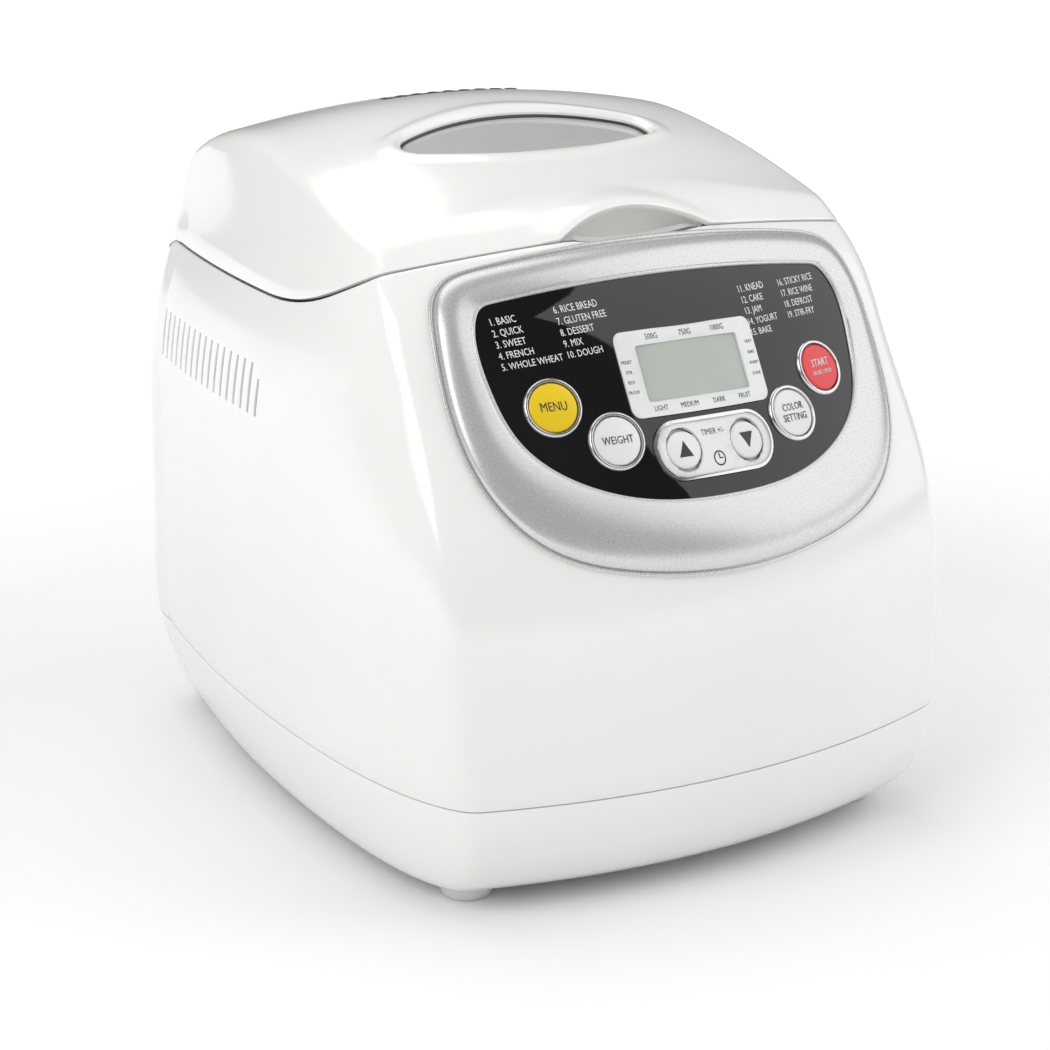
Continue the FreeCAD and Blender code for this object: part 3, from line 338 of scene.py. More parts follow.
# %% Smooth curves through stations
def smooth(knots, values):
    """The cubic spline through the values; its first two spans share one cubic, and so do its last two."""
    k, v = np.array(knots, float), np.array(values, float)
    h = np.diff(k)
    i = np.arange(1, len(k) - 1)
    system, right = np.zeros((len(k), len(k))), np.zeros(len(k))
    system[i, i - 1], system[i, i], system[i, i + 1] = h[:-1] / 6, (h[:-1] + h[1:]) / 3, h[1:] / 6
    right[i] = np.diff(v)[1:] / h[1:] - np.diff(v)[:-1] / h[:-1]
    system[0, :3] = -1 / h[0], 1 / h[0] + 1 / h[1], -1 / h[1]
    system[-1, -3:] = -1 / h[-2], 1 / h[-2] + 1 / h[-1], -1 / h[-1]
    bend = np.linalg.solve(system, right)

    def curve(p):
        """The span's cubic at p, from the values and bends at its two ends."""
        p = np.asarray(p, float)
        j = np.clip(np.searchsorted(k, p) - 1, 0, len(h) - 1)
        a, b = k[j + 1] - p, p - k[j]
        cubic = (bend[j] * a ** 3 + bend[j + 1] * b ** 3) / (6 * h[j])
        return cubic + (v[j] / h[j] - bend[j] * h[j] / 6) * a + (v[j + 1] / h[j] - bend[j + 1] * h[j] / 6) * b
    return curve


def ease(value, start, stop):
    """0 before start, 1 after stop, and a smooth S between them."""
    t = np.clip((np.asarray(value, float) - start) / (stop - start), 0, 1)
    return t * t * (3 - 2 * t)


STATION_Z = (7, 20, 48, 90, 150, 205, 235, 256, 274, 297)
half_width = smooth(STATION_Z, (122, 127.5, 134, 136, 135, 128, 120.5, 114, 108.5, 100))
front_line = smooth(STATION_Z, (-146, -159, -167, -166.5, -156, -126.5, -108, -86, -60, -22))
back_line = smooth(STATION_Z, (162, 164, 166.5, 167.5, 166, 163, 161.5, 155.5, 140, 100))
crease_line = smooth(STATION_Z, (107, 110, 112.5, 115.5, 116.5, 113.5, 112.5, 108, 104, 96))
split_height = smooth((-150, -120, -104, -90, -78, -64, -45, -24, 0, 20, 60),
                      (320, 289, 272, 259, 250, 243, 235.5, 230, 228, 228, 228))
roof_line = smooth((-112, -89, -56, -13, 18, 46, 72, 98, 122, 143, 157, 168),
                   (240, 260, 271.5, 284, 291.2, 295, 293.5, 288.5, 279, 264, 246, 222))
FRONT_BOW, SIDE_BOW, BACK_BOW, ROOF_BOW = 304.0, 780.0, 585.0, 480.0
CORNER_SLOPE, CORNER_REACH, BACK_CORNER = math.tan(math.radians(46)), 3.6, 41.0
SEAM_Z, SEAM_TOP, LID_GAP, BASE_Z = 49.9, 50.35, 1.2, 7.0
BACK_DIP_Z, CASE_WALL = 223.5, 2.5


def split_at(y):
    """The height where the lid meets the body at depth y: level at the back, swept up at the front."""
    return np.where(y > 0, 228.0, split_height(np.minimum(y, 10)))


def roof_at(x, y):
    """The crowned roof: its middle line's height at y, less x squared over twice the bow's radius."""
    return roof_line(y) - x ** 2 / (2 * ROOF_BOW)


# %% [markdown]
# The five spans meet in shared points, and the crease at the front is rounded off by a short Bezier of its own.
# The case could be lofted between drawn outlines, but as a function it also says where any other piece has to
# lie.

# %% The case as a function
CREASE_SOFT = 4.0
VENT_BAND = (-4.1, 119.7)


def bezier(a, b, c, t):
    """The quadratic Bezier from a to c, pulled towards b."""
    return (1 - t) ** 2 * a + 2 * t * (1 - t) * b + t ** 2 * c


def case(u, z, inset=0.0, upright=False):
    """The case at height z; u is 0 at the middle of the front, 1 at the middle of the back, negative on the left.
    Its five spans are the front arc, the corner, the side, the rear corner and the back arc. upright keeps the
    side's middle columns plumb."""
    u, z = np.broadcast_arrays(np.asarray(u, float), np.asarray(z, float))
    s = np.abs(u) * 5
    w, crease = half_width(z) - inset, crease_line(z) - 0.6 * inset
    lean = (front_line(z + 0.5) - front_line(z - 0.5))
    front, back = front_line(z) + inset * np.hypot(1, lean), back_line(z) - inset
    crease_y = front + crease ** 2 / (2 * FRONT_BOW)
    corner_y = crease_y + (w - crease) * CORNER_SLOPE
    side_y = corner_y + CORNER_REACH * (w - crease) + 12
    turn_y = back - BACK_CORNER + inset
    turn_x = w - (turn_y - side_y) ** 2 / (2 * SIDE_BOW)
    flat_x = turn_x - BACK_CORNER + inset
    flat_y = back - flat_x ** 2 / (2 * BACK_BOW)

    def front_arc(t):
        """The bowed front: y grows with the square of x, from the middle to the crease."""
        return crease * t, front + (crease * t) ** 2 / (2 * FRONT_BOW)

    def corner(t):
        """The slanting corner, a Bezier from the crease to the start of the side."""
        return bezier(crease, w, w, t), bezier(crease_y, corner_y, side_y, t)

    t = np.clip(s - 2, 0, 1)
    side_run = side_y + t * (turn_y - side_y)
    if upright:
        low, high = VENT_BAND
        before, within, after = (side_y + (low - side_y) * t * 4, low + (high - low) * (t * 2 - 0.5),
                                 high + (turn_y - high) * (t * 4 - 3))
        side_run = np.select([t < 0.25, t < 0.75], [before, within], after)
    side = (w - (side_run - side_y) ** 2 / (2 * SIDE_BOW), side_run)
    t = np.clip(s - 3, 0, 1)
    rear = bezier(turn_x, turn_x, flat_x, t), bezier(turn_y, flat_y, flat_y, t)
    x = flat_x * (1 - np.clip(s - 4, 0, 1))
    behind = x, back - x ** 2 / (2 * BACK_BOW)
    soft_a, soft_b = CREASE_SOFT / crease, CREASE_SOFT / (2 * np.hypot(w - crease, corner_y - crease_y))
    q = (s - 1 + soft_a) / (soft_a + soft_b)
    fa, cb = front_arc(1 - soft_a), corner(soft_b)
    rounded = bezier(fa[0], crease, cb[0], q), bezier(fa[1], crease_y, cb[1], q)
    spans = [q < 0, q < 1, s < 2, s < 3, s < 4]
    shapes = [front_arc(np.minimum(s, 1)), rounded, corner(np.clip(s - 1, 0, 1)), side, rear]
    px = np.select(spans, [p[0] for p in shapes], behind[0])
    py = np.select(spans, [p[1] for p in shapes], behind[1])
    return np.where(u < 0, -px, px), py


def bisect(test, low, high):
    """The height where test turns from false to true, found by halving, for every column at once."""
    for _ in range(30):
        middle = (low + high) / 2
        above = test(middle)
        low, high = np.where(above, low, middle), np.where(above, middle, high)
    return low


def round_trip(half):
    """The whole outline's columns from its right half's span positions, closed, the front's middle first."""
    half = np.unique(np.round(half, 6)) / 5
    return np.concatenate([half, -half[-2:0:-1]])


# %% [markdown]
# ## The body shell
# The body is one moulding, open at the top, where it meets the lid along a line that is level at the back and
# sweeps up over the front corners. Each side has a row of cooling slots: columns of the grid run along each
# slot's edges, so a slot is simply faces left out. Under the lid's grip, the top edge is dished so that a finger
# fits in.

# %% Body shell
VENT_COUNT, VENT_PITCH, VENT_FIRST, VENT_WIDE = 17, 7.6, -3.0, 2.2
VENT_ROWS = (178.5, 193.7, 199.2)
GRIP_HALF, GRIP_DISH = 35.0, 5.5
vent_y = VENT_FIRST + VENT_PITCH * np.arange(VENT_COUNT)
vent_edges = np.sort(np.concatenate([vent_y - VENT_WIDE / 2, vent_y + VENT_WIDE / 2]))
vent_spans = 2.25 + 0.5 * (vent_edges - VENT_BAND[0]) / (VENT_BAND[1] - VENT_BAND[0])
body_half = np.concatenate([
    np.linspace(0, 0.4, 36), np.linspace(0.43, 0.93, 12), np.linspace(0.95, 1.15, 11), np.linspace(1.2, 2, 12),
    np.linspace(2, 2.25, 6), vent_spans, np.linspace(2.75, 3, 6), np.linspace(3, 4, 16), np.linspace(4, 5, 12)])
body_u = round_trip(body_half)


def corner_gap(y):
    """The gap's extra width under the lid, in mm: an S up and an S down where the edge sweeps up at the front."""
    return 0.5 * ease(y, -84, -66) * (1 - ease(y, -50, -20))


def body_top(z):
    """Whether each column's point at height z is above the body's top edge."""
    x, y = case(body_u, z, upright=True)
    level = split_at(y) - LID_GAP - corner_gap(y) * (np.abs(x) > 100)
    return z > level - (level - BACK_DIP_Z) * ease(y, 131, 135)


top = bisect(body_top, np.full(body_u.shape, 212.0), np.full(body_u.shape, 275.0))
plain_rows = np.concatenate([np.linspace(SEAM_TOP, 172, 20), [VENT_ROWS[0], 186.0], VENT_ROWS[1:]])[:, None]
upper = VENT_ROWS[2] + (top - VENT_ROWS[2]) * np.linspace(0, 1, 30)[1:, None]
body_z = np.concatenate([np.broadcast_to(plain_rows, (len(plain_rows), len(body_u))), upper])
x, y = case(body_u, body_z, upright=True)
reach = np.clip(1 - (x / GRIP_HALF) ** 2, 0, 1)
under = np.clip((body_z - top + GRIP_DISH * 1.6 * np.sqrt(reach)) / (GRIP_DISH * 1.6), 0, 1) * (y < 0)
dish = 6.5 * reach * under ** 1.5
body_points = np.stack([x, y + 0.8 * dish, body_z - 0.7 * dish], -1)
columns = np.arange(len(body_u))
_, column_y = case(body_u, 195.0, upright=True)
in_band = (np.abs(body_u) * 5 > 2.2) & (np.abs(body_u) * 5 < 2.8)
nxt_y = column_y[(columns + 1) % len(body_u)]
middle_y = (column_y + nxt_y) / 2
nearest = np.abs(middle_y[:, None] - vent_y).argmin(1)
is_slot = in_band & (np.abs(middle_y - vent_y[nearest]) < VENT_WIDE / 2)
row_low = body_z[:-1].min(1)[:, None]
row_high = np.where(nearest == 0, VENT_ROWS[1], VENT_ROWS[2])[None, :]
hole = is_slot[None, :] & (row_low > VENT_ROWS[0] - 0.1) & (row_low < row_high - 0.1)
body_faces = grid_faces(len(body_z), len(body_u), True, ~hole)
piece("body_casing", [(body_points, body_faces)], "root", F["gloss white"], ["body_shell"],
      CASE_WALL, 0.3)

# %% [markdown]
# ## The base tray and its feet
# Below a fine seam the same barrel goes on as a shallow tray, tucked under with a rounded edge and closed by a
# flat floor. Four soft feet carry it. Each foot is a turned profile with a rounded rim and a screw recess.

# %% Base tray
base_half = np.concatenate([np.linspace(0, 0.93, 20), np.linspace(0.95, 1.15, 9), np.linspace(1.2, 2, 12),
                            np.linspace(2, 3, 16), np.linspace(3, 4, 16), np.linspace(4, 5, 12)])
base_u = round_trip(base_half)
tuck = ((BASE_Z, 6.0), (BASE_Z + 0.3, 3.6), (BASE_Z + 1.2, 1.6), (BASE_Z + 3, 0.5), (BASE_Z + 6, 0.0))
levels = tuck + tuple((z, 0.0) for z in np.linspace(BASE_Z + 9, SEAM_Z, 12))
walls = np.array([np.stack([*case(base_u, z, inset), np.full(base_u.shape, z)], -1) for z, inset in levels])
floor_rings = walls[0] * np.array([1, 1, 0]) * np.linspace(0, 0.97, 8)[:, None, None] + (0, 0, BASE_Z)
base_points = np.concatenate([floor_rings, walls])
piece("base_casing", [(base_points, grid_faces(len(base_points), len(base_u), True))], "root",
      F["gloss white"], ["base_tray"], CASE_WALL, 0.25)

# %% [markdown]
# A foot is a soft white button, seen only as a sliver under the base, so its rim and its flare matter most.

# %% Feet
FOOT_PROFILE = ((2.1, 6.9), (2.1, 4.0), (4.2, 4.0), (4.2, 0.6), (4.6, 0.1), (8.6, 0.0), (9.6, 0.25), (10.2, 1.0),
                (10.9, 3.0), (11.4, 4.0), (11.5, 4.6), (12.1, 5.0), (12.6, 6.2), (12.9, 7.0))
FOOT_SPOTS = ((96.0, -112.0), (84.0, 104.0))
feet = [turned(FOOT_PROFILE, 48, (sx * x, y)) for sx in (-1, 1) for x, y in FOOT_SPOTS]
piece("feet", feet, "root", F["satin white"], ["foot_pads"], 0.0)

# %% [markdown]
# ## The lid
# The lid carries the barrel up to a soft ridge and closes it with a crowned roof. Each column starts at the lid's
# lower edge, climbs the wall, rounds the ridge, which is crisp at the front corners and slack at the back, and
# then crosses the roof to the rim of the eye-shaped window. Round the window the roof swells into a low roll and
# drops to the glass. At the front the lower edge lifts into an arch with a brow over it, and a bowl closes it
# inside. At the back two notches are left out, where the hinge brackets pass as the lid opens.

# %% Window outline
WINDOW_Y, WINDOW_X, WINDOW_HALF_Y = -2.0, 60.5, 21.5


def arc_through(a, b, c, count):
    """Points along the circle through three points, from a to c."""
    a, b, c = (np.array(p, float) for p in (a, b, c))
    sides = np.stack([b - a, c - a]) * 2
    centre = np.linalg.solve(sides, [b @ b - a @ a, c @ c - a @ a])
    start, turn = np.arctan2(*(a - centre)[::-1]), np.arctan2(*(c - centre)[::-1])
    through = (np.arctan2(*(b - centre)[::-1]) - start) % (2 * math.pi)
    sweep = (turn - start) % (2 * math.pi)
    sweep = sweep if through < sweep else sweep - 2 * math.pi
    angle = start + sweep * np.linspace(0, 1, count)
    return centre + np.hypot(*(a - centre)) * np.stack([np.cos(angle), np.sin(angle)], -1)


def soften(loop, sigma):
    """A closed loop, evenly spaced, with each point averaged with its neighbours within about sigma."""
    closed = np.vstack([loop, loop[:1]])
    along = np.concatenate([[0], np.cumsum(np.hypot(*np.diff(closed, axis=0).T))])
    count = 1200
    steps = np.linspace(0, along[-1], count, endpoint=False)
    even = np.stack([np.interp(steps, along, closed[:, k]) for k in (0, 1)], 1)
    away = np.minimum(np.arange(count), count - np.arange(count)) * along[-1] / count
    kernel = np.exp(-0.5 * (away / sigma) ** 2)
    spread = np.fft.fft(kernel / kernel.sum())[:, None]
    return np.fft.ifft(np.fft.fft(even, axis=0) * spread, axis=0).real


def radius_at(loop, centre, angle):
    """How far the loop is from the centre in each direction."""
    off = loop - centre
    bearing = np.arctan2(off[:, 1], off[:, 0])
    order = np.argsort(bearing)
    return np.interp(angle, bearing[order], np.hypot(*off.T)[order], period=2 * math.pi)


window_centre = np.array([0.0, WINDOW_Y])
tip, rise = 0.93 * WINDOW_X, 0.42 * WINDOW_HALF_Y
eye_arcs = [((-tip, rise), (0, WINDOW_HALF_Y), (tip, rise)), ((tip, rise), (WINDOW_X, 0), (tip, -rise)),
            ((tip, -rise), (0, -WINDOW_HALF_Y), (-tip, -rise)), ((-tip, -rise), (-WINDOW_X, 0), (-tip, rise))]
window_loop = soften(np.vstack([arc_through(*a, 60)[:-1] for a in eye_arcs]) + window_centre, 3.0)
print("window", np.ptp(window_loop, axis=0).round(1), "mm")

# %% Lid columns and their two ends
RIDGE_SOFT_FRONT, RIDGE_SOFT_SIDE, RIDGE_SOFT_BACK = 13.0, 5.0, 11.0
ARCH_HALF, ARCH_RISE, BROW = 36.0, 7.5, 2.4
HINGE_X, HINGE_NOTCH, NOTCH_FRONT, NOTCH_TOP = 62.0, 7.2, 134.0, 246.0
HINGE_COLUMNS = (4.155, 4.175, 4.315, 4.335)
lid_half = np.concatenate([np.linspace(0, 0.4, 40), np.linspace(0.43, 0.93, 16), np.linspace(0.95, 1.15, 13),
                           np.linspace(1.2, 2, 16), np.linspace(2, 3, 26), np.linspace(3, 4, 20),
                           np.linspace(4, 5, 12), HINGE_COLUMNS])
lid_u = round_trip(lid_half)


def over_split(z):
    """Whether each column's point at height z is above the line where the lid splits from the body."""
    return z > split_at(case(lid_u, z)[1])


def over_roof(z):
    """Whether each column's point at height z is above the crowned roof."""
    return z > roof_at(*case(lid_u, z))


low, high = np.full(lid_u.shape, 214.0), np.full(lid_u.shape, 296.0)
edge_z = bisect(over_split, low, high)
edge_x, edge_y = case(lid_u, edge_z)
arch = np.sqrt(np.clip(1 - (edge_x / ARCH_HALF) ** 2, 0, 1)) * (edge_y < 0)
arch_z = edge_z + ARCH_RISE * arch ** 1.9
ridge_z = bisect(over_roof, low, high)
ridge_x, ridge_y = case(lid_u, ridge_z)
in_front = (1 - ease(np.abs(ridge_x), 40, 90)) * (ridge_y < 0)
softness = (RIDGE_SOFT_SIDE + (RIDGE_SOFT_FRONT - RIDGE_SOFT_SIDE) * in_front
            + (RIDGE_SOFT_BACK - RIDGE_SOFT_SIDE) * ease(ridge_y, -30, 90))
soft_down = np.minimum(softness * 0.55, (ridge_z - arch_z) * 0.45)
print("lid columns", len(lid_u), "ridge from", ridge_z.min().round(1), "to", ridge_z.max().round(1), "mm")

# %% [markdown]
# Between its two ends a column is a wall on the barrel, a Bezier turn over the ridge, and a straight run over the
# roof towards the window. The roll round the window is an S up and a steeper S down, measured from the rim, and
# it fades where the window looks to the front.

# %% Lid rows from the edge to the window
ROLL_WIDE, ROLL_TOP, ROLL_HIGH, ROLL_DROP, ROLL_LESS_IN_FRONT = 13.0, 5.0, 0.9, 2.9, 0.55
LIP_DROPS = (1.2, 2.6)
wall_top = ridge_z - soft_down
wall_z = arch_z + (wall_top - arch_z) * np.linspace(0, 1, 12)[:, None] ** 0.8
wall_x, wall_y = case(lid_u, wall_z)
bearing = np.arctan2(ridge_y - WINDOW_Y, ridge_x)
rim = radius_at(window_loop, window_centre, bearing)
ridge_r = np.hypot(ridge_x, ridge_y - WINDOW_Y)
roof_r = ridge_r - softness


def roof_point(r):
    """The roof at distance r from the window's middle, in each column's direction."""
    px, py = r * np.cos(bearing), WINDOW_Y + r * np.sin(bearing)
    return np.stack([px, py, roof_at(px, py)], -1)


ridge = np.stack([ridge_x, ridge_y, ridge_z], -1)
wall_end = np.stack([wall_x[-1], wall_y[-1], wall_z[-1]], -1)
t = np.linspace(0, 1, 9)[1:-1, None, None]
turn_rows = bezier(wall_end, ridge, roof_point(roof_r), t)
spans = 1 - np.linspace(0, 1, 22) ** 0.9
out = (rim + ROLL_WIDE)[None, :] + (roof_r - rim - ROLL_WIDE) * spans[:, None]
closer = np.array([0.9, 0.8, 0.7, 0.6, 0.5, 0.42, 0.34, 0.26, 0.2, 0.14, 0.09, 0.05, 0.02, 0.0])
near = rim + ROLL_WIDE * closer[:, None]
roof_rows = roof_point(np.vstack([out, near]))
off_rim = np.vstack([out, near]) - rim
roll = ROLL_HIGH * ease(off_rim, ROLL_WIDE, ROLL_TOP) - ROLL_DROP * (1 - ease(off_rim, -1.5, ROLL_TOP)) ** 1.5
roof_rows[..., 2] += roll * (1 - ROLL_LESS_IN_FRONT * ease(-np.sin(bearing), 0.2, 0.9))
lip = roof_rows[-1] - np.array([0, 0, 1]) * np.array(LIP_DROPS)[:, None, None]
lid_rows = np.vstack([np.stack([wall_x, wall_y, wall_z], -1), turn_rows, roof_rows, lip])
print("lid rows", lid_rows.shape)

# %% [markdown]
# ## Brow and finger bowl
# The brow is a soft swelling along the arch, pushed forwards and up. Under it a finger reaches into a bowl, which
# is a Bezier from the arch's edge to a line just behind the top edge of the body.

# %% Brow over the grip
above = lid_rows[..., 2] - arch_z
along = np.clip(1 - (lid_rows[..., 0] / (ARCH_HALF + 9)) ** 2, 0, 1) * (lid_rows[..., 1] < -20)
brow = BROW * along ** 0.7 * (1 - ease(above, 1.5, 7.5))
lid_rows[..., 1] -= 0.75 * brow
lid_rows[..., 2] += 0.65 * brow
print("brow", round(float(brow.max()), 2), "mm")

# %% Bowl under the grip
grip_cols = np.abs(edge_x) < ARCH_HALF - 0.1
grip_cols &= edge_y < 0
order = np.argsort(edge_x[grip_cols])
mouth = lid_rows[0][grip_cols][order]
fall = np.sqrt(np.clip(1 - (mouth[:, 0] / ARCH_HALF) ** 2, 0, 1))[:, None]
back_edge = np.stack([mouth[:, 0] * 0.96, edge_y[grip_cols][order] + 2, edge_z[grip_cols][order] - 1.0], -1)
back_edge += fall * (0, 11.0, -7.0)
t = np.linspace(0, 1, 14)[:, None, None]
bowl = bezier(mouth + (0, 0.2, -0.2), (mouth + back_edge) / 2 + fall * (0, 6.0, 4.0), back_edge, t)
middle = (lid_rows[:-1] + lid_rows[1:] + np.roll(lid_rows, -1, 1)[:-1] + np.roll(lid_rows, -1, 1)[1:]) / 4
notch = np.abs(np.abs(middle[..., 0]) - HINGE_X) < HINGE_NOTCH
notch &= (middle[..., 1] > NOTCH_FRONT) & (middle[..., 2] < NOTCH_TOP)
lid_faces = grid_faces(len(lid_rows), len(lid_u), True, ~notch)
bowl_faces = grid_faces(len(bowl), bowl.shape[1])[:, ::-1]
piece("lid_cover", [(lid_rows, lid_faces)], "lid", F["gloss white"], ["lid_outer"], 2.4, 0.4)
piece("grip_bowl", [(bowl, bowl_faces)], "lid", F["gloss white"], [], 1.2, 0.2)

# %% [markdown]
# ## Window and steam vent
# A milky pane lies just under the roof, held by a thin dark gasket that shows as a line round its far edge.
# Behind it, at the crest of the roof, a dark strip of louvres lets the steam out.

# %% Pane, gasket, steam vent
rings = np.array([0.0, 0.25, 0.5, 0.75, 0.93, 1.0])[:, None]
turn = np.linspace(-math.pi, math.pi, 160, endpoint=False)


def on_roof(r, drop):
    """Points under the roof at distance r from the window's middle, for each of the turn angles."""
    px, py = r * np.cos(turn), WINDOW_Y + r * np.sin(turn)
    return np.stack([px, py, roof_at(px, py) - drop], -1)


pane_r = radius_at(window_loop, window_centre, turn)
pane = on_roof((pane_r + 2.0) * rings, 3.6)[::-1]
pane_faces = grid_faces(len(rings), len(turn), True)
piece("window_pane", [(pane, pane_faces)], "lid", F["window pane"],
      ["window_glass"], 2.6, 0.2)
tube_t = np.linspace(0, 2 * math.pi, 10, endpoint=False)[:, None]
gasket = on_roof(pane_r - 0.2 + 0.8 * np.cos(tube_t), 0) + np.stack(
    [np.zeros((10, 160)), np.zeros((10, 160)), -3.2 + 0.8 * np.sin(tube_t) + np.zeros((10, 160))], -1)
gasket = np.vstack([gasket, gasket[:1]])
piece("window_gasket", [(gasket, grid_faces(11, 160, True)[:, ::-1])], "lid", F["dark plastic"],
      ["window_seal"])

VENT_X, VENT_Y0, VENT_Y1 = 34.0, 59.6, 69.4
strip_x = np.linspace(-VENT_X, VENT_X, 69)
louvre = 0.35 * np.clip(np.cos(strip_x * 2 * math.pi / 8.0) * 1.6, -0.2, 1)
across = np.linspace(0, 1, 13)[:, None]
strip_y = VENT_Y0 + (VENT_Y1 - VENT_Y0) * across + 0 * strip_x
hump = np.clip(np.sin(math.pi * across) * 1.5, 0, 1)
strip = np.stack([strip_x + 0 * across, strip_y, roof_at(strip_x, strip_y) - 0.7 + hump * (0.8 + louvre)], -1)
piece("steam_vent", [(strip, grid_faces(13, 69))], "lid", F["dark plastic"],
      ["lid_vent_grille"], 1.6, 0.0)

# %% [markdown]
# ## The front panel
# Everything on the front follows the same leaning, slightly bowed surface. A point of the panel is given by how
# far across, how high, and how far out from that surface. Outlines are drawn flat and then wrapped on it.

# %% Wrapping onto the front
def lean_at(z):
    """How far back the front goes for each mm of height."""
    return front_line(z + 0.5) - front_line(z - 0.5)


def on_front(x, z, out):
    """The front surface at (x, z), moved out along its own outward direction."""
    x, z, out = np.broadcast_arrays(np.asarray(x, float), np.asarray(z, float), np.asarray(out, float))
    normal = np.stack([x / FRONT_BOW, -np.ones_like(x), lean_at(z)], -1)
    normal /= np.linalg.norm(normal, axis=-1, keepdims=True)
    return np.stack([x, front_line(z) + x ** 2 / (2 * FRONT_BOW), z], -1) + normal * out[..., None]


def shield(half_top, top_z, arch, sides, bottom, sigma):
    """A shield outline: an arched top, then one curve down one side, round the bottom and up the other."""
    right = [(half_top, top_z), *sides]
    points = np.array(right + [(0, bottom)] + [(-x, z) for x, z in right[::-1]], float)
    steps = np.concatenate([[0], np.cumsum(np.hypot(*np.diff(points, axis=0).T))])
    fine = np.linspace(0, steps[-1], 500)
    curve = np.stack([smooth(steps, points[:, 0])(fine), smooth(steps, points[:, 1])(fine)], 1)
    crown = arc_through((-half_top, top_z), (0, top_z + arch), (half_top, top_z), 200)
    return soften(np.vstack([curve[:-1], crown[:-1]]), sigma)


BEZEL_SIDE = ((98, 240), (102.6, 222), (103.8, 197), (99, 172), (84, 152), (48, 138))
BEZEL_LOOP = shield(87, 246.5, 7.5, BEZEL_SIDE, 133.2, 6.0)
PANEL_SIDE = ((84.5, 229.5), (85.8, 208), (79.5, 187), (56.5, 170))
PANEL_LOOP = shield(80.5, 235, 5.8, PANEL_SIDE, 161.6, 2.4)
FRONT_CENTRE = np.array([0.0, 199.0])
print("bezel", np.ptp(BEZEL_LOOP, axis=0).round(1), "panel", np.ptp(PANEL_LOOP, axis=0).round(1))

# %% [markdown]
# The bezel is a broad, softly rounded frame with a fine step outside and a bright lip round the panel. Its
# profile is given once and carried round: each point lies some share of the way from the outer to the inner
# outline.

# %% Silver bezel
BEZEL_PROFILE = (
    # (share of the way in, mm further in, mm out)
    (0, 0.0, -0.6), (0, 0.0, 0.7), (0, 0.15, 1.15), (0, 0.5, 1.4), (0, 1.1, 1.4), (0, 1.4, 1.15), (0, 1.55, 0.55),
    (0, 2.0, 0.5), (0, 2.15, 1.1), (0, 2.6, 1.9), (0.08, 2.0, 2.75), (0.16, 2.0, 3.35), (0.26, 2.0, 3.8),
    (0.38, 1.5, 4.0), (0.5, 1.0, 3.95), (0.62, 0.5, 3.7), (0.74, 0.0, 3.3), (0.86, 0.0, 2.8), (0.93, 0.0, 2.45),
    (1, -1.1, 2.25), (1, -0.9, 2.5), (1, -0.5, 2.65), (1, -0.1, 2.5), (1, 0.1, 2.2), (1, 0.15, 1.0),
    (1, 0.15, -0.6))
around = np.linspace(-math.pi, math.pi, 360, endpoint=False)
outer_r = radius_at(BEZEL_LOOP, FRONT_CENTRE, around)
inner_r = radius_at(PANEL_LOOP, FRONT_CENTRE, around)
share, inward, height = np.array(BEZEL_PROFILE).T[:, :, None]
bezel_r = outer_r + (inner_r - outer_r) * share - inward
bezel_rows = on_front(bezel_r * np.cos(around), FRONT_CENTRE[1] + bezel_r * np.sin(around), height)
bezel_rows = np.vstack([bezel_rows, bezel_rows[:1]])
piece("silver_bezel", [(bezel_rows, grid_faces(len(bezel_rows), len(around), True))], "root",
      F["silver paint"], ["bezel"], angle=50)


# %% [markdown]
# The panel and its plates are flat shapes with holes. Triangles that respect every rim come from a constrained
# Delaunay split, with extra points inside, so that the shape can bend with the front when it is wrapped on it.

# %% Flat shapes wrapped on the front
def circle(x, z, r, count=48):
    """A closed loop at distance r from (x, z)."""
    a = np.linspace(0, 2 * math.pi, count, endpoint=False)
    return np.stack([x + r * np.cos(a), z + r * np.sin(a)], -1)


def box_loop(x0, x1, z0, z1, r):
    """A rounded rectangle as a closed loop."""
    corners = ((x1 - r, z0 + r, -0.5), (x1 - r, z1 - r, 0), (x0 + r, z1 - r, 0.5), (x0 + r, z0 + r, 1))
    a = np.linspace(0, 0.5, 9) * math.pi
    return np.vstack([np.stack([x + r * np.cos(a + s * math.pi), z + r * np.sin(a + s * math.pi)], -1)
                      for x, z, s in corners])


def inside(points, loop):
    """Which points lie in the loop: a ray to the right crosses it an odd number of times."""
    (x, z), (x0, z0) = points.T[:, :, None], loop.T[:, None, :]
    x1, z1 = np.roll(loop, -1, 0).T[:, None, :]
    crosses = (z0 > z) != (z1 > z)
    with np.errstate(divide="ignore", invalid="ignore"):
        return (crosses & (x < x0 + (z - z0) * (x1 - x0) / (z1 - z0))).sum(1) % 2 == 1


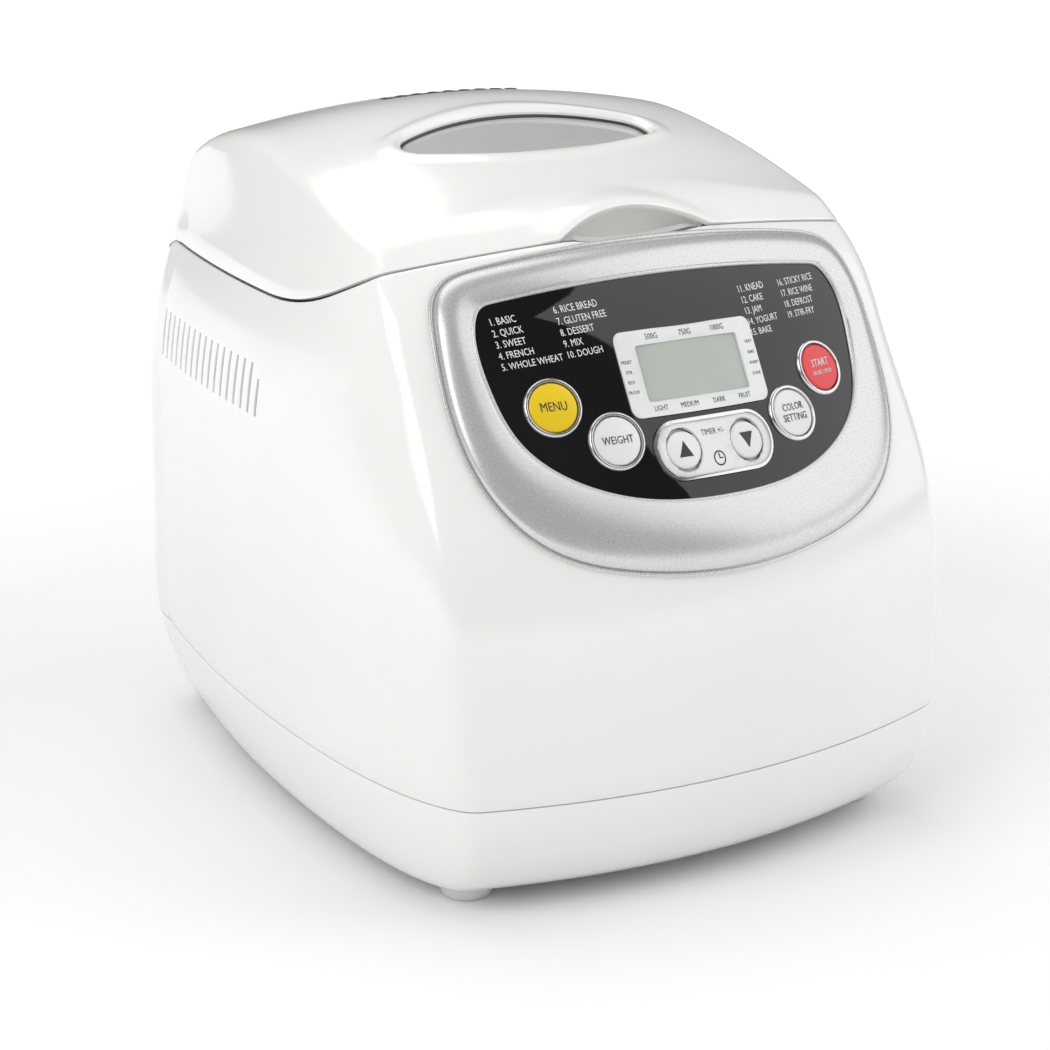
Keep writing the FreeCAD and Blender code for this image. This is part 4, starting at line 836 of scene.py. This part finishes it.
def sheet(outline, holes, step, low, high):
    """A flat region with holes, split into triangles, as a closed slab on the front between two heights."""
    loops = [outline, *holes]
    grid = np.stack(np.meshgrid(np.arange(outline[:, 0].min(), outline[:, 0].max(), step),
                                np.arange(outline[:, 1].min(), outline[:, 1].max(), step)), -1).reshape(-1, 2)
    kept = inside(grid, outline)
    for loop in loops:
        kept &= np.sqrt(((grid[:, None] - loop) ** 2).sum(-1)).min(1) > step * 0.5
    for loop in holes:
        kept &= ~inside(grid, loop)
    starts = np.cumsum([0] + [len(loop) for loop in loops])
    rims = [(i, i + 1 if i + 1 < b else a) for a, b in zip(starts, starts[1:]) for i in range(a, b)]
    flat = np.vstack(loops + [grid[kept]])
    verts, _, faces, *_ = delaunay_2d_cdt([Vector(p) for p in flat.tolist()], rims, [], 0, 1e-6)
    verts = np.array([tuple(v) for v in verts])
    faces = np.array([f for f in faces if len(f) == 3])
    middle = verts[faces].mean(1)
    wanted = inside(middle, outline)
    for loop in holes:
        wanted &= ~inside(middle, loop)
    faces = faces[wanted]
    n = len(verts)
    points = np.concatenate([on_front(verts[:, 0], verts[:, 1], high), on_front(verts[:, 0], verts[:, 1], low)])
    rims = np.array(rims)
    sides = np.stack([rims[:, 0], rims[:, 0] + n, rims[:, 1] + n, rims[:, 1]], -1)
    return points, faces.tolist() + (faces[:, ::-1] + n).tolist() + sides.tolist()


# %% [markdown]
# The panel is a sheet of glossy black acrylic. The display's frame and the timer's pad are pale plates that stand
# just proud of it, and each key comes up through its own hole.

# %% Black panel, display and timer pad
KEYS = {
    # body: (x, z, radius of the cap, finish, slot)
    "menu_button": (-63.5, 198.6, 9.8, "key yellow", "yellow_button"),
    "weight_button": (-41.8, 185.0, 9.8, "key white", "silver_trim"),
    "timer_up_button": (-14.8, 179.0, 7.6, "key white", "silver_trim"),
    "timer_down_button": (14.8, 179.0, 7.6, "key white", "silver_trim"),
    "color_button": (41.8, 185.0, 9.8, "key white", "silver_trim"),
    "start_button": (63.5, 198.6, 9.8, "key red", "red_button"),
}
DISPLAY = (-32.2, 32.2, 191.6, 222.2)
GLASS = (-24.0, 24.0, 196.8, 217.0)
key_holes = [circle(x, z, r + 0.35) for x, z, r, *_ in KEYS.values()]
piece("black_panel", [sheet(soften(PANEL_LOOP, 1.0)[::4], key_holes, 3.0, -0.4, 1.5)], "root", F["black acrylic"],
      ["control_panel"])
piece("display_frame", [sheet(box_loop(*DISPLAY, 3.6), [box_loop(*GLASS, 1.2)], 3.0, 1.4, 2.35)], "root",
      F["key white"], ["lcd_frame"], 0, 0.25)
piece("display_screen", [sheet(box_loop(-24.6, 24.6, 196.2, 217.6, 1.5), [], 3.0, 0.6, 1.62)], "root",
      F["display glass"], ["lcd_screen"])
pad_holes = [circle(x, z, r + 0.35) for x, z, r, *_ in list(KEYS.values())[2:4]]
piece("timer_pad", [sheet(box_loop(-26.5, 26.5, 169.4, 188.6, 9.5), pad_holes, 2.5, 1.4, 2.4)], "root",
      F["key white"], ["timer_plate"], 0, 0.3)
pad_rim = [box_loop(-27.5, 27.5, 168.4, 189.6, 10.5), box_loop(-26.3, 26.3, 169.6, 188.4, 9.3)]
piece("timer_rim", [sheet(pad_rim[0], pad_rim[1:], 2.5, 1.4, 2.8)], "root", F["silver trim"], [],
      0, 0.3)


# %% [markdown]
# A key is a turned cap with a round shoulder and a slight dome, on a thin stem that reaches the switch behind.
# The four large keys have a bright ring round them. Each key rides on its own body, so that it can be pressed.

# %% Keys and their rings
def square_to_front(points, x, z):
    """Turned shapes about the origin, stood square to the front at (x, z), their axis pointing out."""
    middle = on_front(x, z, 0.0)
    n = on_front(x, z, 1.0) - middle
    across = np.cross((0.0, 0.0, 1.0), n)
    across /= np.linalg.norm(across)
    up = np.cross(n, across)
    return middle + points[..., :1] * across + points[..., 1:2] * up + points[..., 2:] * n


def cap_profile(r, top, dome):
    """A key's outline from its hidden foot to its crown: a straight side, a round shoulder, a low dome."""
    shoulder = 1.1
    a = np.linspace(0, math.pi / 2, 6)
    side = [(0.05, -1.2), (r, -1.2), (r, top - shoulder - dome)]
    corner = [(r - shoulder + shoulder * math.cos(k), top - shoulder - dome + shoulder * math.sin(k))
              for k in a[1:]]
    crown = [(k * (r - shoulder), top - dome * k * k) for k in (0.8, 0.6, 0.4, 0.2, 0.003)]
    return side + corner + crown


for name, (x, z, r, key_finish, slot) in KEYS.items():
    points, faces = turned(cap_profile(r, 3.0, 0.35), 64)
    stem_points, stem_faces = turned(((0.02, -7.0), (3.0, -7.0), (3.0, -1.2), (0.02, -1.2)), 24)
    piece(name.replace("button", "key"), [(square_to_front(points, x, z), faces),
                                          (square_to_front(stem_points, x, z), stem_faces)],
          name, F[key_finish], [name])
RING = ((0.42, 0.9), (0.42, 2.3), (0.6, 2.6), (1.0, 2.75), (1.5, 2.6), (1.9, 2.2), (2.1, 1.5), (2.1, 0.9),
        (0.42, 0.9))
rings = []
for x, z, r, *_ in KEYS.values():
    if r > 9:
        points, faces = turned([(r + a, h) for a, h in RING], 72)
        rings.append((square_to_front(points, x, z), faces[:, ::-1]))
piece("key_rings", rings, "root", F["silver trim"], ["button_rings"])

# %% [markdown]
# ## Printed words and marks
# The legends are plain words and numbers. Each is Blender text with a little thickness, made a mesh and then
# wrapped on the front like everything else, so it lies on the leaning, bowed panel. A legend on a key rides with
# that key.

# %% Lettering
NARROW, ROW, INK_OUT = 0.86, 3.9, 1.52


def text_mesh(text, size, align="LEFT"):
    """The letters' points and faces, lying flat, in mm."""
    curve = bpy.data.curves.new("letters", "FONT")
    curve.body, curve.size, curve.align_x, curve.align_y = text, size, align, "CENTER"
    curve.extrude, curve.resolution_u = 0.04, 2
    holder = bpy.data.objects.new("letters", curve)
    scene.collection.objects.link(holder)
    mesh = bpy.data.meshes.new_from_object(holder.evaluated_get(bpy.context.evaluated_depsgraph_get()))
    points = np.zeros(len(mesh.vertices) * 3, np.float32)
    mesh.vertices.foreach_get("co", points)
    faces = [list(p.vertices) for p in mesh.polygons]
    bpy.data.objects.remove(holder)
    bpy.data.meshes.remove(mesh)
    return points.reshape(-1, 3).astype(float) * (NARROW, 1, 1), faces


def printed(rows, out):
    """Rows of (text, x, z, size, alignment, slope) wrapped on the front at a height."""
    sheets = []
    for text, x, z, size, align, slope in rows:
        points, faces = text_mesh(text, size, align)
        run, up, thick = points.T
        sheets.append((on_front(x + run - slope * up, z + up + slope * run, out + thick), faces))
    return sheets


PROGRAMMES = (
    (-79.0, 229.4, 0.085, ("1. BASIC", "2. QUICK", "3. SWEET", "4. FRENCH", "5. WHOLE WHEAT")),
    (-52.5, 231.9, 0.07, ("6. RICE BREAD", "7. GLUTEN FREE", "8. DESSERT", "9. MIX", "10. DOUGH")),
    (32.4, 231.4, 0.02, ("11. KNEAD", "12. CAKE", "13. JAM", "14. YOGURT", "15. BAKE")),
    (54.4, 231.2, 0.0, ("16. STICKY RICE", "17. RICE WINE", "18. DEFROST", "19. STIR-FRY")),
)
white_rows = [(text, x, z - ROW * i, 3.45, "LEFT", slope) for x, z, slope, texts in PROGRAMMES
              for i, text in enumerate(texts)]
piece("programme_list", printed(white_rows, INK_OUT), "root", F["ink white"])
dark_rows = [(text, x, 219.7, 3.0, "CENTER", 0) for text, x in (("500G", -15.5), ("750G", 0), ("1000G", 15.5))]
dark_rows += [(text, x, 194.3, 2.6, "CENTER", 0)
              for text, x in (("LIGHT", -19.5), ("MEDIUM", -6.5), ("DARK", 7.5), ("FRUIT", 20))]
STAGES = ((-29.2, 211.5, 3.6, ("PRESET", "STIR", "REST", "PROOF")),
          (29.2, 213.0, 3.9, ("HEAT", "BAKE", "WARM", "DONE")))
dark_rows += [(text, x, z - step * i, 1.7, "CENTER", 0) for x, z, step, texts in STAGES
              for i, text in enumerate(texts)]
piece("display_legends", printed(dark_rows, 2.37), "root", F["ink black"])
dial = circle(0, 174.3, 2.7, 40)
clock = [sheet(dial, [circle(0, 174.3, 2.2, 40)], 5.0, 2.4, 2.5)]
clock += [sheet(box_loop(-0.22, 0.22, 174.1, 176.2, 0.1), [], 5.0, 2.4, 2.5),
          sheet(box_loop(-0.22, 1.5, 174.1, 174.5, 0.1), [], 5.0, 2.4, 2.5)]
piece("timer_legend", printed([("TIMER +/-", 0, 183.8, 3.0, "CENTER", 0)], 2.42) + clock, "root", F["ink black"])
KEY_WORDS = {
    "menu_button": (("MENU", 0, 4.6),), "weight_button": (("WEIGHT", 0, 3.9),),
    "color_button": (("COLOR", 1.9, 3.7), ("SETTING", -1.9, 3.7)),
    "start_button": (("START", 1.5, 3.9), ("PAUSE / STOP", -2.1, 2.1)),
}
for name, words in KEY_WORDS.items():
    x, z, *_ = KEYS[name]
    ink = "ink white" if name == "start_button" else "ink black"
    rows = [(text, x, z + up, size, "CENTER", 0) for text, up, size in words]
    piece(name.replace("button", "word"), printed(rows, 3.03), name, F[ink])
arrow = np.array([(-3.1, -2.6), (3.1, -2.6), (0, 3.0)])
for name, way in (("timer_up_button", 1), ("timer_down_button", -1)):
    x, z, *_ = KEYS[name]
    loop = arrow[::way] * (1, way) + (x, z)
    piece(name.replace("button", "arrow"), [sheet(loop, [], 4.0, 2.9, 3.06)], name, F["ink black"])

# %% [markdown]
# ## The bread pan's rolled rim and the inner parts
# Under the lid the CAD solids already have the right shapes, so they stay and only get their finishes: brushed
# sheet for the chamber, speckled non-stick on the pan and paddle, turned and zinc-plated steel, nylon pulleys.
# The pan's rim is the exception. On the real one the sheet is rolled over a wire, so a tube is carried round the
# rim.

# %% Rolled rim of the pan
PAN_MIDDLE_Y, RIM_Z, RIM_TUBE = 28.0, 190.3, 1.9
RIM_HALF = np.array([72.0, 67.0])
RIM_CORNER = 22.0


def rounded_plan(half, corner, count=22):
    """A rounded rectangle about the origin, anticlockwise: four quarter circles joined by straight sides."""
    a = np.linspace(0, math.pi / 2, count)
    quarters = [np.stack([sx * (half[0] - corner) + corner * np.cos(a + turn),
                          sy * (half[1] - corner) + corner * np.sin(a + turn)], -1)
                for sx, sy, turn in ((1, 1, 0), (-1, 1, math.pi / 2), (-1, -1, math.pi), (1, -1, 1.5 * math.pi))]
    return np.vstack(quarters)


def outward(loop):
    """The outward direction at each point of a closed loop: its tangent turned by a right angle."""
    run = np.roll(loop, -1, 0) - np.roll(loop, 1, 0)
    run /= np.linalg.norm(run, axis=1, keepdims=True)
    return np.stack([run[:, 1], -run[:, 0]], -1)


rim_loop = rounded_plan(RIM_HALF, RIM_CORNER)
rim_out = outward(rim_loop)
tube_turn = np.linspace(0, 2 * math.pi, 13)[:, None, None]
rim_plan = rim_loop + rim_out * RIM_TUBE * np.cos(tube_turn)
rim_high = np.broadcast_to(RIM_Z + RIM_TUBE * np.sin(tube_turn), (*rim_plan.shape[:2], 1))
rim_points = np.concatenate([rim_plan + (0, PAN_MIDDLE_Y), rim_high], -1)
piece("pan_rim", [(rim_points, grid_faces(13, len(rim_loop), True))], "pan", F["non-stick"])

# %% [markdown]
# One table says which finish each remaining CAD part takes. Only the material slots change, never the mesh.

# %% Finishes of the CAD parts
CAD_FINISH = {
    "satin white": ("top_deck", "lid_inner"),
    "nylon": ("hinge_brackets", "hinge_ears", "large_pulley", "motor_pulley"),
    "window pane": ("window_inner_glass",),
    "pale rubber": ("lid_seal",),
    "dark rubber": ("drive_belt", "cord_gland"),
    "dark plastic": ("tact_switches", "motor_capacitor", "power_components"),
    "zinc screw": ("base_screws", "lid_screws", "motor_screws", "hinge_pins"),
    "sheet steel": ("baking_chamber", "chassis_plate", "chamber_standoffs", "element_supports",
                    "temperature_sensor", "motor_bracket", "pan_socket", "element_terminals"),
    "ground steel": ("drive_shaft", "pan_shaft", "motor_shaft", "pan_handle"),
    "oxide sheath": ("heating_element",),
    "cast aluminium": ("drive_coupling", "pan_dog", "pan_base", "pan_ears"),
    "non-stick": ("bread_pan", "kneading_paddle"),
    "bronze bush": ("drive_bearing", "pan_bearing"),
    "motor steel": ("motor_body",),
    "board green": ("control_board", "power_board"),
}
for finish_name, names in CAD_FINISH.items():
    for name in names:
        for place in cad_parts[name].material_slots:
            place.material = F[finish_name]
dressed = {name for names in CAD_FINISH.values() for name in names}
print("CAD parts dressed", len(dressed), "of", len(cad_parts))

# %% [markdown]
# ## Floor
# The machine stands on one plain white floor, wide enough to fill the view, with a faint grain of its own. Far
# from the machine the floor glows a little, which makes up for the light that the cards give only near it.

# %% Floor
FLOOR_HALF = 9000.0
side = np.linspace(-FLOOR_HALF, FLOOR_HALF, 25)
floor_x, floor_y = np.meshgrid(side, side)
floor_mesh = bpy.data.meshes.new("floor")
floor_points = np.stack([floor_x, floor_y, 0 * floor_x], -1).reshape(-1, 3) * MM
floor_mesh.from_pydata(floor_points.tolist(), [], grid_faces(25, 25).tolist())
floor_mesh.materials.append(F["floor white"])
floor_nodes, floor_links = F["floor white"].node_tree.nodes, F["floor white"].node_tree.links
floor_place, away, glow = (floor_nodes.new("ShaderNode" + kind) for kind in ("TexCoord", "VectorMath", "MapRange"))
away.operation = "LENGTH"
floor_links.new(floor_place.outputs["Object"], away.inputs[0])
floor_links.new(away.outputs["Value"], glow.inputs["Value"])
for socket, value in (("From Min", 0.35), ("From Max", 1.6), ("To Min", 0.0), ("To Max", 0.6)):
    glow.inputs[socket].default_value = value
floor_links.new(glow.outputs[0], floor_nodes["Principled BSDF"].inputs["Emission Color"])
floor_nodes["Principled BSDF"].inputs["Emission Strength"].default_value = 1.0
floor = bpy.data.objects.new("floor", floor_mesh)
scene.collection.objects.link(floor)
print("floor", round(2 * FLOOR_HALF * MM), "m wide")
